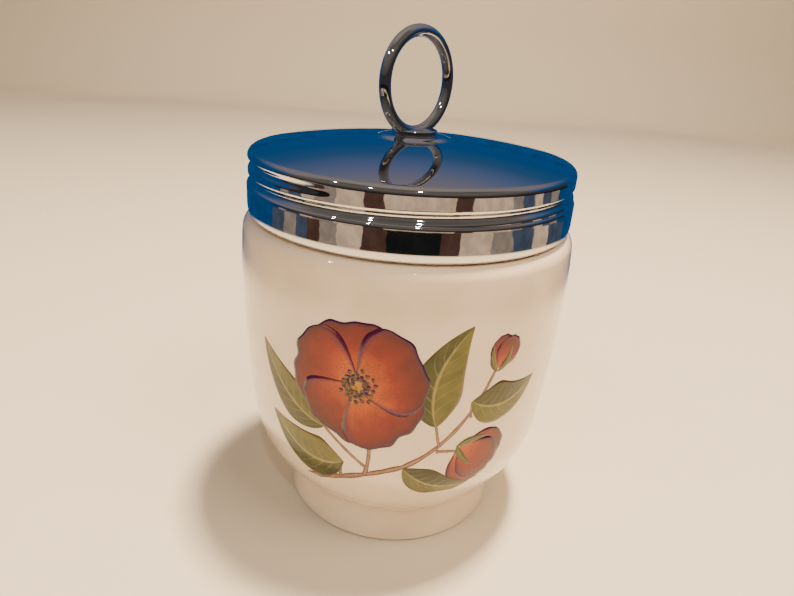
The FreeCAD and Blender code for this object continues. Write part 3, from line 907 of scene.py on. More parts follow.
@dataclass(frozen=True)
class CapForm:
    """Sizes of the pressed cap and the outline that follows from them, the cup and the thread."""

    cup: CupForm
    thread: ThreadForm
    sheet: float = 0.5
    edge_gap: float = 0.33
    rim_gap: float = 0.3
    dome_radius: float = 150.0
    corner: float = 1.2
    skirt_step: float = 0.3
    skirt_round: float = 0.8
    skirt_height: float = 5.66
    edge_roll_height: float = 1.6
    edge_roll_depth: float = 0.4
    edge_round: float = 0.25
    hem_gap: float = 0.35
    seat_rise: float = 0.43
    seat_radius: float = 4.8
    seat_foot_radius: float = 8.0
    shank_hole: float = 1.65

    @property
    def band_radius(self) -> float:
        """Outer radius of the threaded band."""
        return self.cup.neck_radius + self.thread.bead_rise + self.thread.crest_gap + self.sheet

    @property
    def edge(self) -> float:
        """Height of the cap's lower edge."""
        return self.cup.shoulder_top + self.edge_gap

    @property
    def dome_centre(self) -> float:
        """Height of the centre of the dome's sphere."""
        rim = self.cup.neck_radius - self.cup.neck_wall / 2
        return self.cup.rim_top + self.rim_gap - math.sqrt((self.dome_radius - self.sheet) ** 2 - rim ** 2)

    @property
    def corner_height(self) -> float:
        """Height where the band turns into the dome."""
        reach = self.dome_radius - self.corner
        return self.dome_centre + math.sqrt(reach ** 2 - (self.band_radius - self.corner) ** 2)

    @property
    def seat_top(self) -> float:
        """Height of the raised seat in the dome's middle."""
        return self.dome_centre + self.dome_radius + self.seat_rise

    @property
    def groove_top(self) -> float:
        """Height of the groove's upper end."""
        return self.corner_height - self.thread.groove_drop

    @property
    def thread_offset(self) -> float:
        """How far the cup's bead runs above the cap's ridge."""
        reach = self.thread.groove_radius + self.sheet + self.thread.bead_rise + self.thread.gap
        path = self.band_radius + self.thread.groove_radius - self.thread.groove_depth
        return math.sqrt(reach ** 2 - (path - self.cup.neck_radius) ** 2)

    @property
    def bead_azimuth(self) -> float:
        """Direction of the bead's upper end in degrees, on the same helix as the groove."""
        top = self.cup.rim_top - self.thread.bead_drop
        drop = self.groove_top + self.thread_offset - top
        return self.thread.groove_azimuth - 360 * drop / self.thread.pitch

    def outline(self, thread_step: float = 0.09) -> list[Point]:
        """Closed outline of the sheet, outside first.

        Args:
            thread_step: Gap between points where the groove is pressed, in mm.

        Returns:
            Points of radius and height in mm.
        """
        skirt = self.band_radius + self.skirt_step
        skirt_top = self.edge + self.skirt_height
        sine = (self.band_radius - self.corner) / (self.dome_radius - self.corner)
        cosine = math.sqrt(1 - sine ** 2)
        bend = (self.edge_roll_depth ** 2 + self.edge_roll_height ** 2) / (2 * self.edge_roll_depth)
        seat_foot = self.dome_centre + math.sqrt(self.dome_radius ** 2 - self.seat_foot_radius ** 2)
        run, rise = self.seat_foot_radius - self.seat_radius, self.seat_top - seat_foot
        seat_bend = (run ** 2 + rise ** 2) / (4 * rise)
        hem = self.cup.neck_radius + self.thread.bead_rise + self.hem_gap
        inner_dome = self.dome_radius - self.sheet
        drawn = Outline((skirt - self.edge_roll_depth, self.edge))
        drawn.arc((skirt, self.edge + self.edge_roll_height), bend, Side.LEFT, 0.15)
        skirt_drop = math.sqrt(self.skirt_step * (2 * self.skirt_round - self.skirt_step))
        drawn.line((skirt, skirt_top - skirt_drop), 0.4)
        drawn.arc((self.band_radius, skirt_top), self.skirt_round, Side.LEFT, 0.05)
        drawn.line((self.band_radius, self.corner_height), thread_step)
        dome_edge = (self.dome_radius * sine, self.dome_centre + self.dome_radius * cosine)
        drawn.arc(dome_edge, self.corner, Side.LEFT, 0.08)
        drawn.arc((self.seat_foot_radius, seat_foot), self.dome_radius, Side.LEFT, 0.5)
        seat_middle = ((self.seat_foot_radius + self.seat_radius) / 2, (seat_foot + self.seat_top) / 2)
        drawn.arc(seat_middle, seat_bend, Side.RIGHT, 0.1)
        drawn.arc((self.seat_radius, self.seat_top), seat_bend, Side.LEFT, 0.1)
        drawn.line((self.shank_hole, self.seat_top), 0.4)
        drawn.line((self.shank_hole, self.seat_top - self.sheet), 0.25)
        drawn.line((self.seat_radius, self.seat_top - self.sheet), 0.5)
        drawn.line((self.seat_foot_radius, seat_foot - self.sheet), 0.5)
        drawn.arc((inner_dome * sine, self.dome_centre + inner_dome * cosine), inner_dome, Side.RIGHT, 1.0)
        inner_corner = (self.band_radius - self.sheet, self.corner_height)
        drawn.arc(inner_corner, self.corner - self.sheet, Side.RIGHT, 0.1)
        drawn.line((self.band_radius - self.sheet, skirt_top - self.skirt_step), thread_step)
        drawn.line((skirt - self.sheet, skirt_top - 2 * self.skirt_step), 0.1)
        drawn.line((skirt - self.sheet, self.edge + self.edge_roll_height), 0.4)
        drawn.line((hem, self.edge + self.edge_roll_height), 0.2)
        drawn.line((hem, self.edge + self.edge_round), 0.3)
        drawn.arc((hem + self.edge_round, self.edge), self.edge_round, Side.LEFT, 0.06)
        return drawn.points


# The printed spray


@dataclass(frozen=True)
class Leaf:
    """One printed leaf, from its stalk to its tip, in mm round the cup and above the foot."""

    base: Point
    bend: Point
    tip: Point
    width: float
    lean: float = 0.15


@dataclass(frozen=True)
class Petal:
    """One petal: where it starts, where it points in degrees, its length and its half width."""

    base: Point
    heading: float
    length: float
    half_width: float
    tone: float
    notch: float = 0.1
    curl: float = 0.0


def bezier(start: Point, bend: Point, end: Point, share: float) -> Point:
    """A point on a curve with one control point."""
    rest = 1 - share
    return tuple(rest ** 2 * a + 2 * share * rest * b + share ** 2 * c for a, b, c in zip(start, bend, end))


@dataclass
class PrintedSpray:
    """A generic spray of blossoms printed on the front of the cup, as thin films on its glaze."""

    cup: CupForm
    centre: Point = (-6.5, 40.5)
    petal_length: float = 12.0
    petal_half_width: float = 8.2
    petals: int = 5
    film: float = 0.012
    first_lift: float = 0.012
    layer: float = 0.004
    dot_rings: float = 3.0
    ring_dots: float = 17.0
    ring_step: float = 0.78
    dot_sides: int = 10
    dot_radius: float = 0.42
    leaves: list[Leaf] = field(default_factory=lambda: [
        Leaf((-9.0, 24.5), (-16.5, 21.5), (-25.0, 29.5), 10.4),
        Leaf((2.0, 24.6), (7.5, 18.8), (15.5, 19.4), 6.6, -0.12),
        Leaf((7.0, 33.5), (4.5, 43.5), (11.5, 52.0), 9.8, 0.1),
        Leaf((13.0, 38.0), (20.0, 34.5), (27.0, 39.5), 9.2, -0.15),
        Leaf((-12.5, 31.0), (-21.0, 33.5), (-26.5, 43.5), 8.8, 0.12),
    ])

    def wrap(self, across: float, height: float, lift: float) -> tuple[float, float, float]:
        """Lays a point of the design on the cup.

        Args:
            across: Distance round the cup from its front in mm, to the right.
            height: Height above the foot's face in mm.
            lift: Distance from the porcelain in mm.

        Returns:
            The point in metres.
        """
        angle = across / self.cup.belly_radius - math.pi / 2
        radius = (self.cup.radius_at(height) - self.cup.print_room + lift) * MM
        return radius * math.cos(angle), radius * math.sin(angle), height * MM

    def films(
        self, name: str, patches: Sequence[tuple[Callable[[float, float], Point], int, int, float, float]]
    ) -> bpy.types.Object:
        """Makes thin closed films, one for each patch, as one piece.

        Args:
            name: Name of the piece.
            patches: For each film, its shape as a function of along and across from 0 to 1, the number
                of steps along and across, its lift in mm and its tone.

        Returns:
            The piece, with its UV map and its tone attribute.
        """
        vertices, faces, places, tones = [], [], [], []
        for shape, rows, columns, lift, tone in patches:
            start = len(vertices)
            layer = (rows + 1) * (columns + 1)
            for top in (True, False):
                for row in range(rows + 1):
                    for column in range(columns + 1):
                        spread = (row / rows, column / columns)
                        across, height = shape(*spread)
                        depth = lift if top else lift - self.film - self.first_lift
                        vertices.append(self.wrap(across, height, depth))
                        places.append(spread)
                        tones.append(tone)
            number = lambda row, column, under=0: start + under * layer + row * (columns + 1) + column
            for row in range(rows):
                for column in range(columns):
                    quad = [(row, column), (row, column + 1), (row + 1, column + 1), (row + 1, column)]
                    faces.append([number(*corner) for corner in quad])
                    faces.append([number(*corner, 1) for corner in reversed(quad)])
            rim = [(row, 0) for row in range(rows)] + [(rows, column) for column in range(columns)]
            rim += [(row, columns) for row in range(rows, 0, -1)]
            rim += [(0, column) for column in range(columns, 0, -1)]
            for here, after in zip(rim, rim[1:] + rim[:1]):
                faces.append([number(*here), number(*after), number(*after, 1), number(*here, 1)])
        piece = new_piece(name, vertices, faces)
        mesh = piece.data
        layer_map = mesh.uv_layers.new(name="UVMap")
        corners = np.empty(len(mesh.loops), np.int32)
        mesh.loops.foreach_get("vertex_index", corners)
        layer_map.data.foreach_set("uv", np.array(places, np.float32)[corners].ravel())
        tone_layer = mesh.attributes.new("tone", "FLOAT", "POINT")
        tone_layer.data.foreach_set("value", np.array(tones, np.float32))
        return piece

    def leaf_shape(self, leaf: Leaf) -> Callable[[float, float], Point]:
        """Outline of a leaf: widest before its middle, with a drawn-out tip.

        Args:
            leaf: The leaf.

        Returns:
            Its shape as a function of along and across.
        """
        def shape(along: float, across: float) -> Point:
            """A point of the leaf."""
            here = bezier(leaf.base, leaf.bend, leaf.tip, along)
            ahead = bezier(leaf.base, leaf.bend, leaf.tip, along + 0.01)
            run, rise = ahead[0] - here[0], ahead[1] - here[1]
            length = math.hypot(run, rise)
            swell = math.sin(math.pi * along ** 0.82) ** 0.9 * (1 - 0.25 * along) + 0.012
            ripple = 1 + 0.05 * math.sin(9 * along + 5 * across)
            lean = leaf.lean * math.sin(math.pi * across) * 0.5
            aside = (across - 0.5 + lean) * leaf.width * swell * ripple
            return here[0] - rise / length * aside, here[1] + run / length * aside

        return shape

    def petal_shape(self, petal: Petal) -> Callable[[float, float], Point]:
        """Outline of a petal: narrow at its base, broad and softly notched at its end.

        Args:
            petal: The petal.

        Returns:
            Its shape as a function of along and across.
        """
        heading = math.radians(petal.heading)
        ahead, aside = (math.cos(heading), math.sin(heading)), (-math.sin(heading), math.cos(heading))

        def shape(along: float, across: float) -> Point:
            """A point of the petal."""
            side = 2 * across - 1
            crown = math.sqrt(max(1 - 0.92 * side ** 2, 0.0)) - petal.notch * math.exp(-(side / 0.22) ** 2)
            crown += 0.025 * math.sin(13 * side + petal.heading)
            reach = petal.length * along * (0.45 + 0.55 * crown)
            opened = math.sin(math.pi / 2 * min(1, along * 1.25)) ** 1.1
            spread = petal.half_width * side * (0.16 + 0.84 * opened)
            bow = petal.curl * along ** 2
            return (
                petal.base[0] + ahead[0] * reach + aside[0] * (spread + bow),
                petal.base[1] + ahead[1] * reach + aside[1] * (spread + bow),
            )

        return shape

    def twig_shape(
        self, base: Point, bend: Point, tip: Point, thick: float, thin: float
    ) -> Callable[[float, float], Point]:
        """Outline of a twig that thins towards its tip.

        Args:
            base: Its thick end.
            bend: Its control point.
            tip: Its thin end.
            thick: Width at its base in mm.
            thin: Width at its tip in mm.

        Returns:
            Its shape as a function of along and across.
        """
        def shape(along: float, across: float) -> Point:
            """A point of the twig."""
            here, ahead = bezier(base, bend, tip, along), bezier(base, bend, tip, along + 0.01)
            run, rise = ahead[0] - here[0], ahead[1] - here[1]
            length = math.hypot(run, rise)
            knots = 1 + 0.18 * math.sin(23 * along) * math.sin(7 * along + 1)
            aside = (across - 0.5) * (thick + (thin - thick) * along) * knots
            return here[0] - rise / length * aside, here[1] + run / length * aside

        return shape

    def build(self) -> list[bpy.types.Object]:
        """Makes the stems, leaves, petals and hearts.

        Returns:
            The pieces, each dressed in its ink.
        """
        lift = self.first_lift
        stem_runs = [
            ((-17.5, 17.5), (-6.0, 22.0), (2.0, 25.0), 1.3, 1.0),
            ((2.0, 25.0), (12.5, 31.0), (17.0, 44.5), 1.0, 0.5),
            ((-5.0, 22.2), (-3.0, 29.0), (-6.0, 38.0), 0.8, 0.6),
            ((7.5, 28.2), (9.5, 28.2), (12.4, 27.6), 0.7, 0.5),
            ((-9.5, 20.4), (-9.8, 22.5), (-9.0, 24.5), 0.7, 0.5),
            ((-4.6, 24.0), (-9.0, 27.5), (-12.5, 31.0), 0.6, 0.5),
            ((8.0, 29.0), (7.5, 31.0), (7.0, 33.5), 0.6, 0.45),
            ((13.2, 34.6), (12.9, 36.0), (13.0, 38.0), 0.5, 0.45),
        ]
        stems = [(self.twig_shape(*run), 40, 4, lift, 0.5) for run in stem_runs]
        leaves = [
            (self.leaf_shape(leaf), 48, 16, lift + self.layer * (1 + index % 2), 0.5)
            for index, leaf in enumerate(self.leaves)
        ]
        blossom = []
        for index in range(self.petals):
            heading = 97 + 360 / self.petals * index
            length = self.petal_length * (1 + 0.05 * math.sin(index * 2.4))
            tone = 0.35 + 0.3 * ((index * 2) % self.petals) / self.petals
            curl = 0.6 * (-1) ** index
            petal = Petal(self.centre, heading, length, self.petal_half_width, tone, curl=curl)
            blossom.append((self.petal_shape(petal), 30, 26, lift + self.layer * (4 + index), tone))
        for index, (heading, tone) in enumerate([(-62, 0.35), (-18, 0.5), (-40, 0.7)]):
            petal = Petal((12.0, 28.6), heading, 10.0, 4.6, tone, 0.06)
            blossom.append((self.petal_shape(petal), 24, 20, lift + self.layer * (2 + index), tone))
        for index, (heading, tone) in enumerate([(84, 0.45), (62, 0.75)]):
            petal = Petal((17.2, 43.6), heading, 6.2, 2.5, tone, 0.0)
            blossom.append((self.petal_shape(petal), 20, 14, lift + self.layer * (1 + index), tone))
        sepals = [
            Leaf((11.4, 28.9), (12.2, 26.0), (15.2, 23.9), 1.5),
            Leaf((11.2, 28.8), (14.4, 30.4), (17.8, 29.9), 1.5),
            Leaf((17.0, 43.0), (15.2, 45.0), (15.6, 48.2), 1.3),
            Leaf((17.0, 43.0), (19.4, 44.4), (19.4, 47.6), 1.3),
        ]
        leaves += [(self.leaf_shape(leaf), 20, 6, lift + self.layer * 5, 0.4) for leaf in sepals]
        made = []
        for name, patches, ink in (
            ("print_stems", stems, StemInk()),
            ("print_leaves", leaves, LeafInk()),
            ("print_blossoms", blossom, PetalInk()),
        ):
            piece = self.films(name, patches)
            piece.data.materials.append(ink.material())
            made.append(hand_over(piece, Body.CUP, Slot.PORCELAIN))
        made.append(self.build_heart())
        return made

    def heart_tree(self) -> bpy.types.NodeTree:
        """Makes the tree that sets anthers on rings round the blossom's middle and lays them on the cup.

        Returns:
            The tree. Its input is one dot in the design's plane, in metres.
        """
        sizes = {
            "Centre Across": 0.0, "Centre Height": 0.04, "Rings": 3.0, "Dots": 22.0, "Ring Step": 0.0008,
            "Girth Radius": 0.0315,
        }
        maths, given = geometry_tree("anther_rings", sizes)
        count = maths.times(given["Dots"], given["Rings"])
        line = maths.node("GeometryNodeMeshLine", {"Count": maths.maths("ROUND", count)}, mode="OFFSET")
        number = maths.node("GeometryNodeInputIndex").outputs["Index"]
        ring = maths.maths("FLOOR", maths.over(number, given["Dots"]))
        wobble = maths.node(
            "FunctionNodeRandomValue", {"Min": -0.5, "Max": 0.5, "ID": number, "Seed": 11}, data_type="FLOAT"
        )
        loose = next(socket for socket in wobble.outputs if socket.enabled)
        turn = maths.times_add(ring, 0.37, maths.over(number, given["Dots"]))
        angle = maths.times(turn, TAU)
        reach = maths.times(maths.add(maths.add(ring, 1.6), loose), given["Ring Step"])
        spot = maths.vector(*[maths.times(maths.maths(way, angle), reach) for way in ("COSINE", "SINE")])
        placed = maths.node("GeometryNodeSetPosition", {"Geometry": line.outputs["Mesh"], "Position": spot})
        copied = {"Points": placed.outputs["Geometry"], "Instance": given["Geometry"]}
        dots = maths.node("GeometryNodeInstanceOnPoints", copied)
        real = maths.node("GeometryNodeRealizeInstances", {"Geometry": dots.outputs["Instances"]})
        parts = maths.parts(maths.node("GeometryNodeInputPosition").outputs["Position"])
        height = maths.add(parts["Y"], given["Centre Height"])
        across = maths.add(parts["X"], given["Centre Across"])
        bearing = maths.less(maths.over(across, given["Girth Radius"]), math.pi / 2)
        drop = maths.maths("POWER", maths.less(height, self.cup.belly_height * MM), 2.0)
        bend = self.cup.flank_radius * MM
        flank = maths.maths("SQRT", maths.less(bend ** 2, drop))
        girth = maths.add(maths.add(flank, given["Girth Radius"]), -bend - self.cup.print_room * MM)
        radius = maths.add(girth, parts["Z"])
        round_axis = [maths.times(maths.maths(way, bearing), radius) for way in ("COSINE", "SINE")]
        wrapped = maths.vector(*round_axis, height)
        moved = {"Geometry": real.outputs["Geometry"], "Position": wrapped}
        laid = maths.node("GeometryNodeSetPosition", moved)
        close_tree(maths, laid.outputs["Geometry"], given["Material"])
        return maths.tree

    def build_heart(self) -> bpy.types.Object:
        """Makes the blossom's middle: a disc of dots in rings, laid on the cup.

        Returns:
            The piece.
        """
        sides, radius = self.dot_sides, self.dot_radius
        top, bottom = self.first_lift + self.layer * 10, 0.0
        angles = [TAU * side / sides for side in range(sides)]
        ring = [(radius * math.cos(angle), radius * math.sin(angle)) for angle in angles]
        vertices = [(x * MM, y * MM, lift * MM) for lift in (top, bottom) for x, y in ring]
        turns = [(side, (side + 1) % sides) for side in range(sides)]
        walls = [(side, side + sides, after + sides, after) for side, after in turns]
        faces = [list(range(sides)), list(reversed(range(sides, 2 * sides)))] + walls
        piece = new_piece("print_anthers", vertices, faces)
        values = {
            "Centre Across": self.centre[0] * MM,
            "Centre Height": self.centre[1] * MM,
            "Rings": self.dot_rings,
            "Dots": self.ring_dots,
            "Ring Step": self.ring_step * MM,
            "Girth Radius": self.cup.belly_radius * MM,
            "Material": HeartInk().material(),
        }
        grow(piece, self.heart_tree(), values)
        return hand_over(piece, Body.CUP, Slot.PORCELAIN)


# Cup, cap and ring


@dataclass
class PorcelainCup:
    """The glazed cup, with its bead raised along the thread's helix."""

    form: CupForm
    cap: CapForm
    columns: int = 280
    bead_room: float = 0.3

    def build(self, thread_tree: bpy.types.NodeTree) -> bpy.types.Object:
        """Makes the cup.

        Args:
            thread_tree: The tree that raises the bead.

        Returns:
            The piece.
        """
        thread = self.cap.thread
        piece = turned("porcelain_cup", self.form.outline(), self.columns)
        values = {
            "Pitch": thread.pitch * MM,
            "Top": (self.form.rim_top - thread.bead_drop) * MM,
            "Azimuth": math.radians(self.cap.bead_azimuth),
            "Turns": thread.bead_turns,
            "Rise": thread.bead_rise * MM,
            "Half Width": thread.bead_width * MM,
            "Run-out": thread.runout,
            "Least Radius": (self.form.neck_radius - self.bead_room) * MM,
            "Material": GlazedPorcelain().material(),
        }
        grow(piece, thread_tree, values)
        return hand_over(piece, Body.CUP, Slot.PORCELAIN, "cup")


@dataclass
class ScrewCap:
    """The chromed cap with its groove, and the washer under its dome."""

    form: CapForm
    columns: int = 296
    groove_room: float = 1.0

    def build(self, thread_tree: bpy.types.NodeTree, chrome: bpy.types.Material) -> bpy.types.Object:
        """Makes the cap.

        Args:
            thread_tree: The tree that presses the groove.
            chrome: The cap's finish.

        Returns:
            The piece.
        """
        thread = self.form.thread
        piece = turned("chromed_cap", self.form.outline(), self.columns, closed=True)
        values = {
            "Pitch": thread.pitch * MM,
            "Top": self.form.groove_top * MM,
            "Azimuth": math.radians(thread.groove_azimuth),
            "Turns": thread.groove_turns,
            "Rise": -thread.groove_depth * MM,
            "Half Width": thread.groove_width * MM,
            "Run-out": thread.runout,
            "Least Radius": (self.form.band_radius - self.groove_room) * MM,
            "Material": chrome,
        }
        grow(piece, thread_tree, values)
        return hand_over(piece, Body.LID, Slot.SHEET, "lid_cap")

    def dress_washer(self) -> None:
        """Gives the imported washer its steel."""
        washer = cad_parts["rivet_washer"]
        washer.data.materials.clear()
        washer.data.materials.append(DullSteel().material())


@dataclass
class LiftingRing:
    """The wire ring and the stud that holds it."""

    cap: CapForm
    outer: float = 19.0
    wire: float = 2.1
    flatness: float = 1.0
    sink: float = 0.61
    flat: float = 0.3
    yaw: float = 49.0
    collar_radius: float = 4.2
    collar_height: float = 0.95
    collar_edge: float = 0.3
    shank_radius: float = 1.5
    rivet_radius: float = 2.6
    rivet_height: float = 0.8
    washer_thickness: float = 0.6
    washer_gap: float = 0.18
    collar_columns: int = 128

    def ring_tree(self) -> bpy.types.NodeTree:
        """Makes the tree that bends a wire to a standing ring and grinds its foot flat.

        Returns:
            The tree. Its sizes are in metres and radians.
        """
        sizes = {
            "Radius": 0.0085, "Wire": 0.001, "Flatness": 1.0, "Height": 0.085, "Flat": 0.0764, "Yaw": 0.85,
        }
        maths, given = geometry_tree("bent_wire_ring", sizes)
        path = maths.node("GeometryNodeCurvePrimitiveCircle", {"Resolution": 240, "Radius": given["Radius"]})
        section = maths.node("GeometryNodeCurvePrimitiveCircle", {"Resolution": 48, "Radius": given["Wire"]})
        oval = maths.vector(1.0, given["Flatness"], 1.0)
        shaped = maths.node("GeometryNodeTransform", {"Geometry": section.outputs["Curve"], "Scale": oval})
        curves = {"Curve": path.outputs["Curve"], "Profile Curve": shaped.outputs["Geometry"]}
        swept = maths.node("GeometryNodeCurveToMesh", curves)
        up = maths.vector(z=given["Height"])
        stood = maths.node(
            "GeometryNodeTransform",
            {"Geometry": swept.outputs["Mesh"], "Rotation": (math.pi / 2, 0, 0), "Translation": up},
        )
        spot = maths.node("GeometryNodeInputPosition").outputs["Position"]
        parts = maths.parts(spot)
        floor = maths.maths("MAXIMUM", parts["Z"], given["Flat"])
        ground = maths.vector(parts["X"], parts["Y"], floor)
        lowered = {"Geometry": stood.outputs["Geometry"], "Position": ground}
        flat = maths.node("GeometryNodeSetPosition", lowered)
        turn = maths.vector(z=given["Yaw"])
        faced = maths.node("GeometryNodeTransform", {"Geometry": flat.outputs["Geometry"], "Rotation": turn})
        close_tree(maths, faced.outputs["Geometry"], given["Material"])
        return maths.tree

    def build_ring(self, chrome: bpy.types.Material) -> bpy.types.Object:
        """Makes the ring.

        Args:
            chrome: The ring's finish.

        Returns:
            The piece.
        """
        piece = new_piece("wire_ring", [], [])
        values = {
            "Radius": (self.outer - self.wire) / 2 * MM,
            "Wire": self.wire / 2 * MM,
            "Flatness": self.flatness,
            "Height": (self.cap.seat_top - self.sink + self.outer / 2) * MM,
            "Flat": (self.cap.seat_top + self.flat) * MM,
            "Yaw": math.radians(self.yaw),
            "Material": chrome,
        }
        grow(piece, self.ring_tree(), values)
        return hand_over(piece, Body.LID, Slot.WIRE, "lifting_ring")

    def build_stud(self, chrome: bpy.types.Material) -> bpy.types.Object:
        """Makes the stud: head, shank and collar.

        Args:
            chrome: The stud's finish.

        Returns:
            The piece.
        """
        seat = self.cap.seat_top
        head = seat - self.cap.sheet - self.washer_thickness - 2 * self.washer_gap
        bend = (self.rivet_radius ** 2 + self.rivet_height ** 2) / (2 * self.rivet_height)
        drawn = Outline((0, head - self.rivet_height))
        drawn.arc((self.rivet_radius, head), bend, Side.LEFT, 0.15)
        drawn.line((self.shank_radius, head), 0.3)
        drawn.line((self.shank_radius, seat), 0.4)
        drawn.line((self.collar_radius, seat), 0.4)
        drawn.line((self.collar_radius, seat + self.collar_height - self.collar_edge), 0.1)
        collar_top = (self.collar_radius - self.collar_edge, seat + self.collar_height)
        drawn.arc(collar_top, self.collar_edge, Side.LEFT, 0.05)
        drawn.line((0, seat + self.collar_height), 0.3)
        piece = turned("ring_collar", drawn.points, self.collar_columns)
        piece.data.materials.append(chrome)
        return hand_over(piece, Body.LID, Slot.WIRE, "ring_stud")


# Studio


class Paint(Enum):
    """Colours of the painted reflections that the glowing card shows in the gloss."""

    DUSK = srgb(8, 76, 132)
    SLATE = srgb(76, 86, 104)
    STONE = srgb(158, 142, 128)
    SAND = srgb(230, 196, 164)
    UMBER = srgb(88, 64, 54)
    SOOT = srgb(30, 33, 31)
    LEAD = srgb(58, 56, 60)


@dataclass(frozen=True)
class CardRing:
    """One ring of the glowing card of painted reflections: where it ends in metres and its paints by
    direction.

    Directions run from 0 behind the object, by 0.25 on its left and 0.5 in front, to 1.
    """

    end: float
    paints: tuple[tuple[float, Paint], ...]

    def stops(self) -> list[tuple[float, Colour]]:
        """The ring's colour stops: dusk behind, its own paints elsewhere."""
        return [(0.0, Paint.DUSK.value)] + [(start, paint.value) for start, paint in self.paints]


@dataclass
class PaintedReflectionCard:
    """A glowing card on the floor round the object that only its gloss sees: painted reflections in the
    chrome and glaze, which light nothing else.
    """

    inner: float = 0.12
    solid: float = 0.185
    outer: float = 0.80
    wall: float = 0.21
    lift: float = 0.001
    glow: float = 1.0
    waver: float = 0.022
    waver_grain: float = 16
    tone_grain: float = 34
    steps: int = 96
    rings: tuple[CardRing, ...] = (
        CardRing(0.264, (
            (0.225, Paint.SLATE), (0.26, Paint.STONE), (0.29, Paint.SLATE), (0.315, Paint.UMBER),
            (0.341, Paint.STONE), (0.376, Paint.SAND), (0.42, Paint.UMBER), (0.461, Paint.SOOT),
            (0.554, Paint.UMBER), (0.588, Paint.SAND), (0.646, Paint.STONE), (0.688, Paint.SLATE),
            (0.74, Paint.SAND), (0.785, Paint.SLATE), (0.84, Paint.DUSK),
        )),
        CardRing(0.36, (
            (0.245, Paint.STONE), (0.265, Paint.SLATE), (0.3, Paint.SAND), (0.325, Paint.STONE),
            (0.366, Paint.SAND), (0.418, Paint.UMBER), (0.457, Paint.SAND), (0.578, Paint.UMBER),
            (0.607, Paint.SAND), (0.684, Paint.STONE), (0.71, Paint.SLATE), (0.735, Paint.SAND),
            (0.76, Paint.SLATE), (0.785, Paint.STONE), (0.81, Paint.DUSK),
        )),
        CardRing(0.76, ((0.225, Paint.SOOT), (0.84, Paint.DUSK))),
        CardRing(2.0, ((0.225, Paint.LEAD), (0.84, Paint.DUSK))),
    )

    def material(self) -> bpy.types.Material:
        """Paints the rings of the painted reflection by distance and direction, with wavering borders and
        uneven tone.

        Returns:
            The material, which only glows.
        """
        made = bpy.data.materials.new("painted_reflection_card")
        made.use_nodes = True
        maths = NodeMaths(made.node_tree)
        place = maths.node("ShaderNodeTexCoord").outputs["Object"]
        parts = maths.parts(place)
        angle = maths.maths("ARCTAN2", parts["Y"], parts["X"])
        share = maths.maths("FRACT", maths.times_add(angle, 1 / TAU, 0.75))
        sway = maths.less(maths.noise(place, self.waver_grain, 3, 0.6), 0.5)
        share = maths.times_add(sway, self.waver, share)
        flat = maths.vector(parts["X"], parts["Y"])
        reach = maths.node("ShaderNodeVectorMath", {0: flat}, operation="LENGTH").outputs["Value"]
        reach = maths.times_add(sway, self.waver, reach)
        colour = maths.ramp(share, self.rings[0].stops(), "CONSTANT")
        for ring, following in zip(self.rings, self.rings[1:]):
            beyond = maths.maths("GREATER_THAN", reach, ring.end)
            colour = maths.mix(beyond, colour, maths.ramp(share, following.stops(), "CONSTANT"))
        tone = maths.smooth(maths.noise(place, self.tone_grain, 3, 0.6), 0.35, 0.65, 0.78, 1.08)
        grey = maths.vector(tone, tone, tone)
        shader = made.node_tree.nodes["Principled BSDF"]
        shader.inputs["Base Color"].default_value = (0, 0, 0, 1)
        shader.inputs["Specular IOR Level"].default_value = 0
        # The glowing colour is the painted reflection that the chrome and glaze show.
        maths.feed(shader.inputs["Emission Color"], maths.mix(1.0, colour, grey, "MULTIPLY"))
        shader.inputs["Emission Strength"].default_value = self.glow
        maths.feed(shader.inputs["Alpha"], maths.smooth(reach, self.inner, self.solid))
        return made

    def build(self) -> None:
        """Makes the glowing card of painted reflections: a ring on the floor and a low wall round it."""
        rows = [(self.inner, self.lift), (self.outer, self.lift), (self.outer, self.wall)]
        steps = self.steps
        vertices = []
        for radius, height in rows:
            for step in range(steps):
                angle = TAU * step / steps
                vertices.append((radius * math.cos(angle), radius * math.sin(angle), height))
        faces = []
        for row in range(len(rows) - 1):
            for step in range(steps):
                after = (step + 1) % steps
                low, high = row * steps, (row + 1) * steps
                faces.append((low + step, high + step, high + after, low + after))
        card = new_piece("painted_reflection_card", vertices, faces)
        card.data.materials.append(self.material())
        # Only glossy rays see it, so it paints reflections and neither lights nor shades anything else.
        card.visible_camera = card.visible_diffuse = card.visible_shadow = card.visible_transmission = False


@dataclass(frozen=True)
class SoftLight:
    """A soft rectangular light aimed at the object, mirrored in its gloss or not."""

    name: str
    place: tuple[float, float, float]
    size: Point
    power: float
    colour: Colour = (1.0, 1.0, 1.0)
    mirrored: bool = False


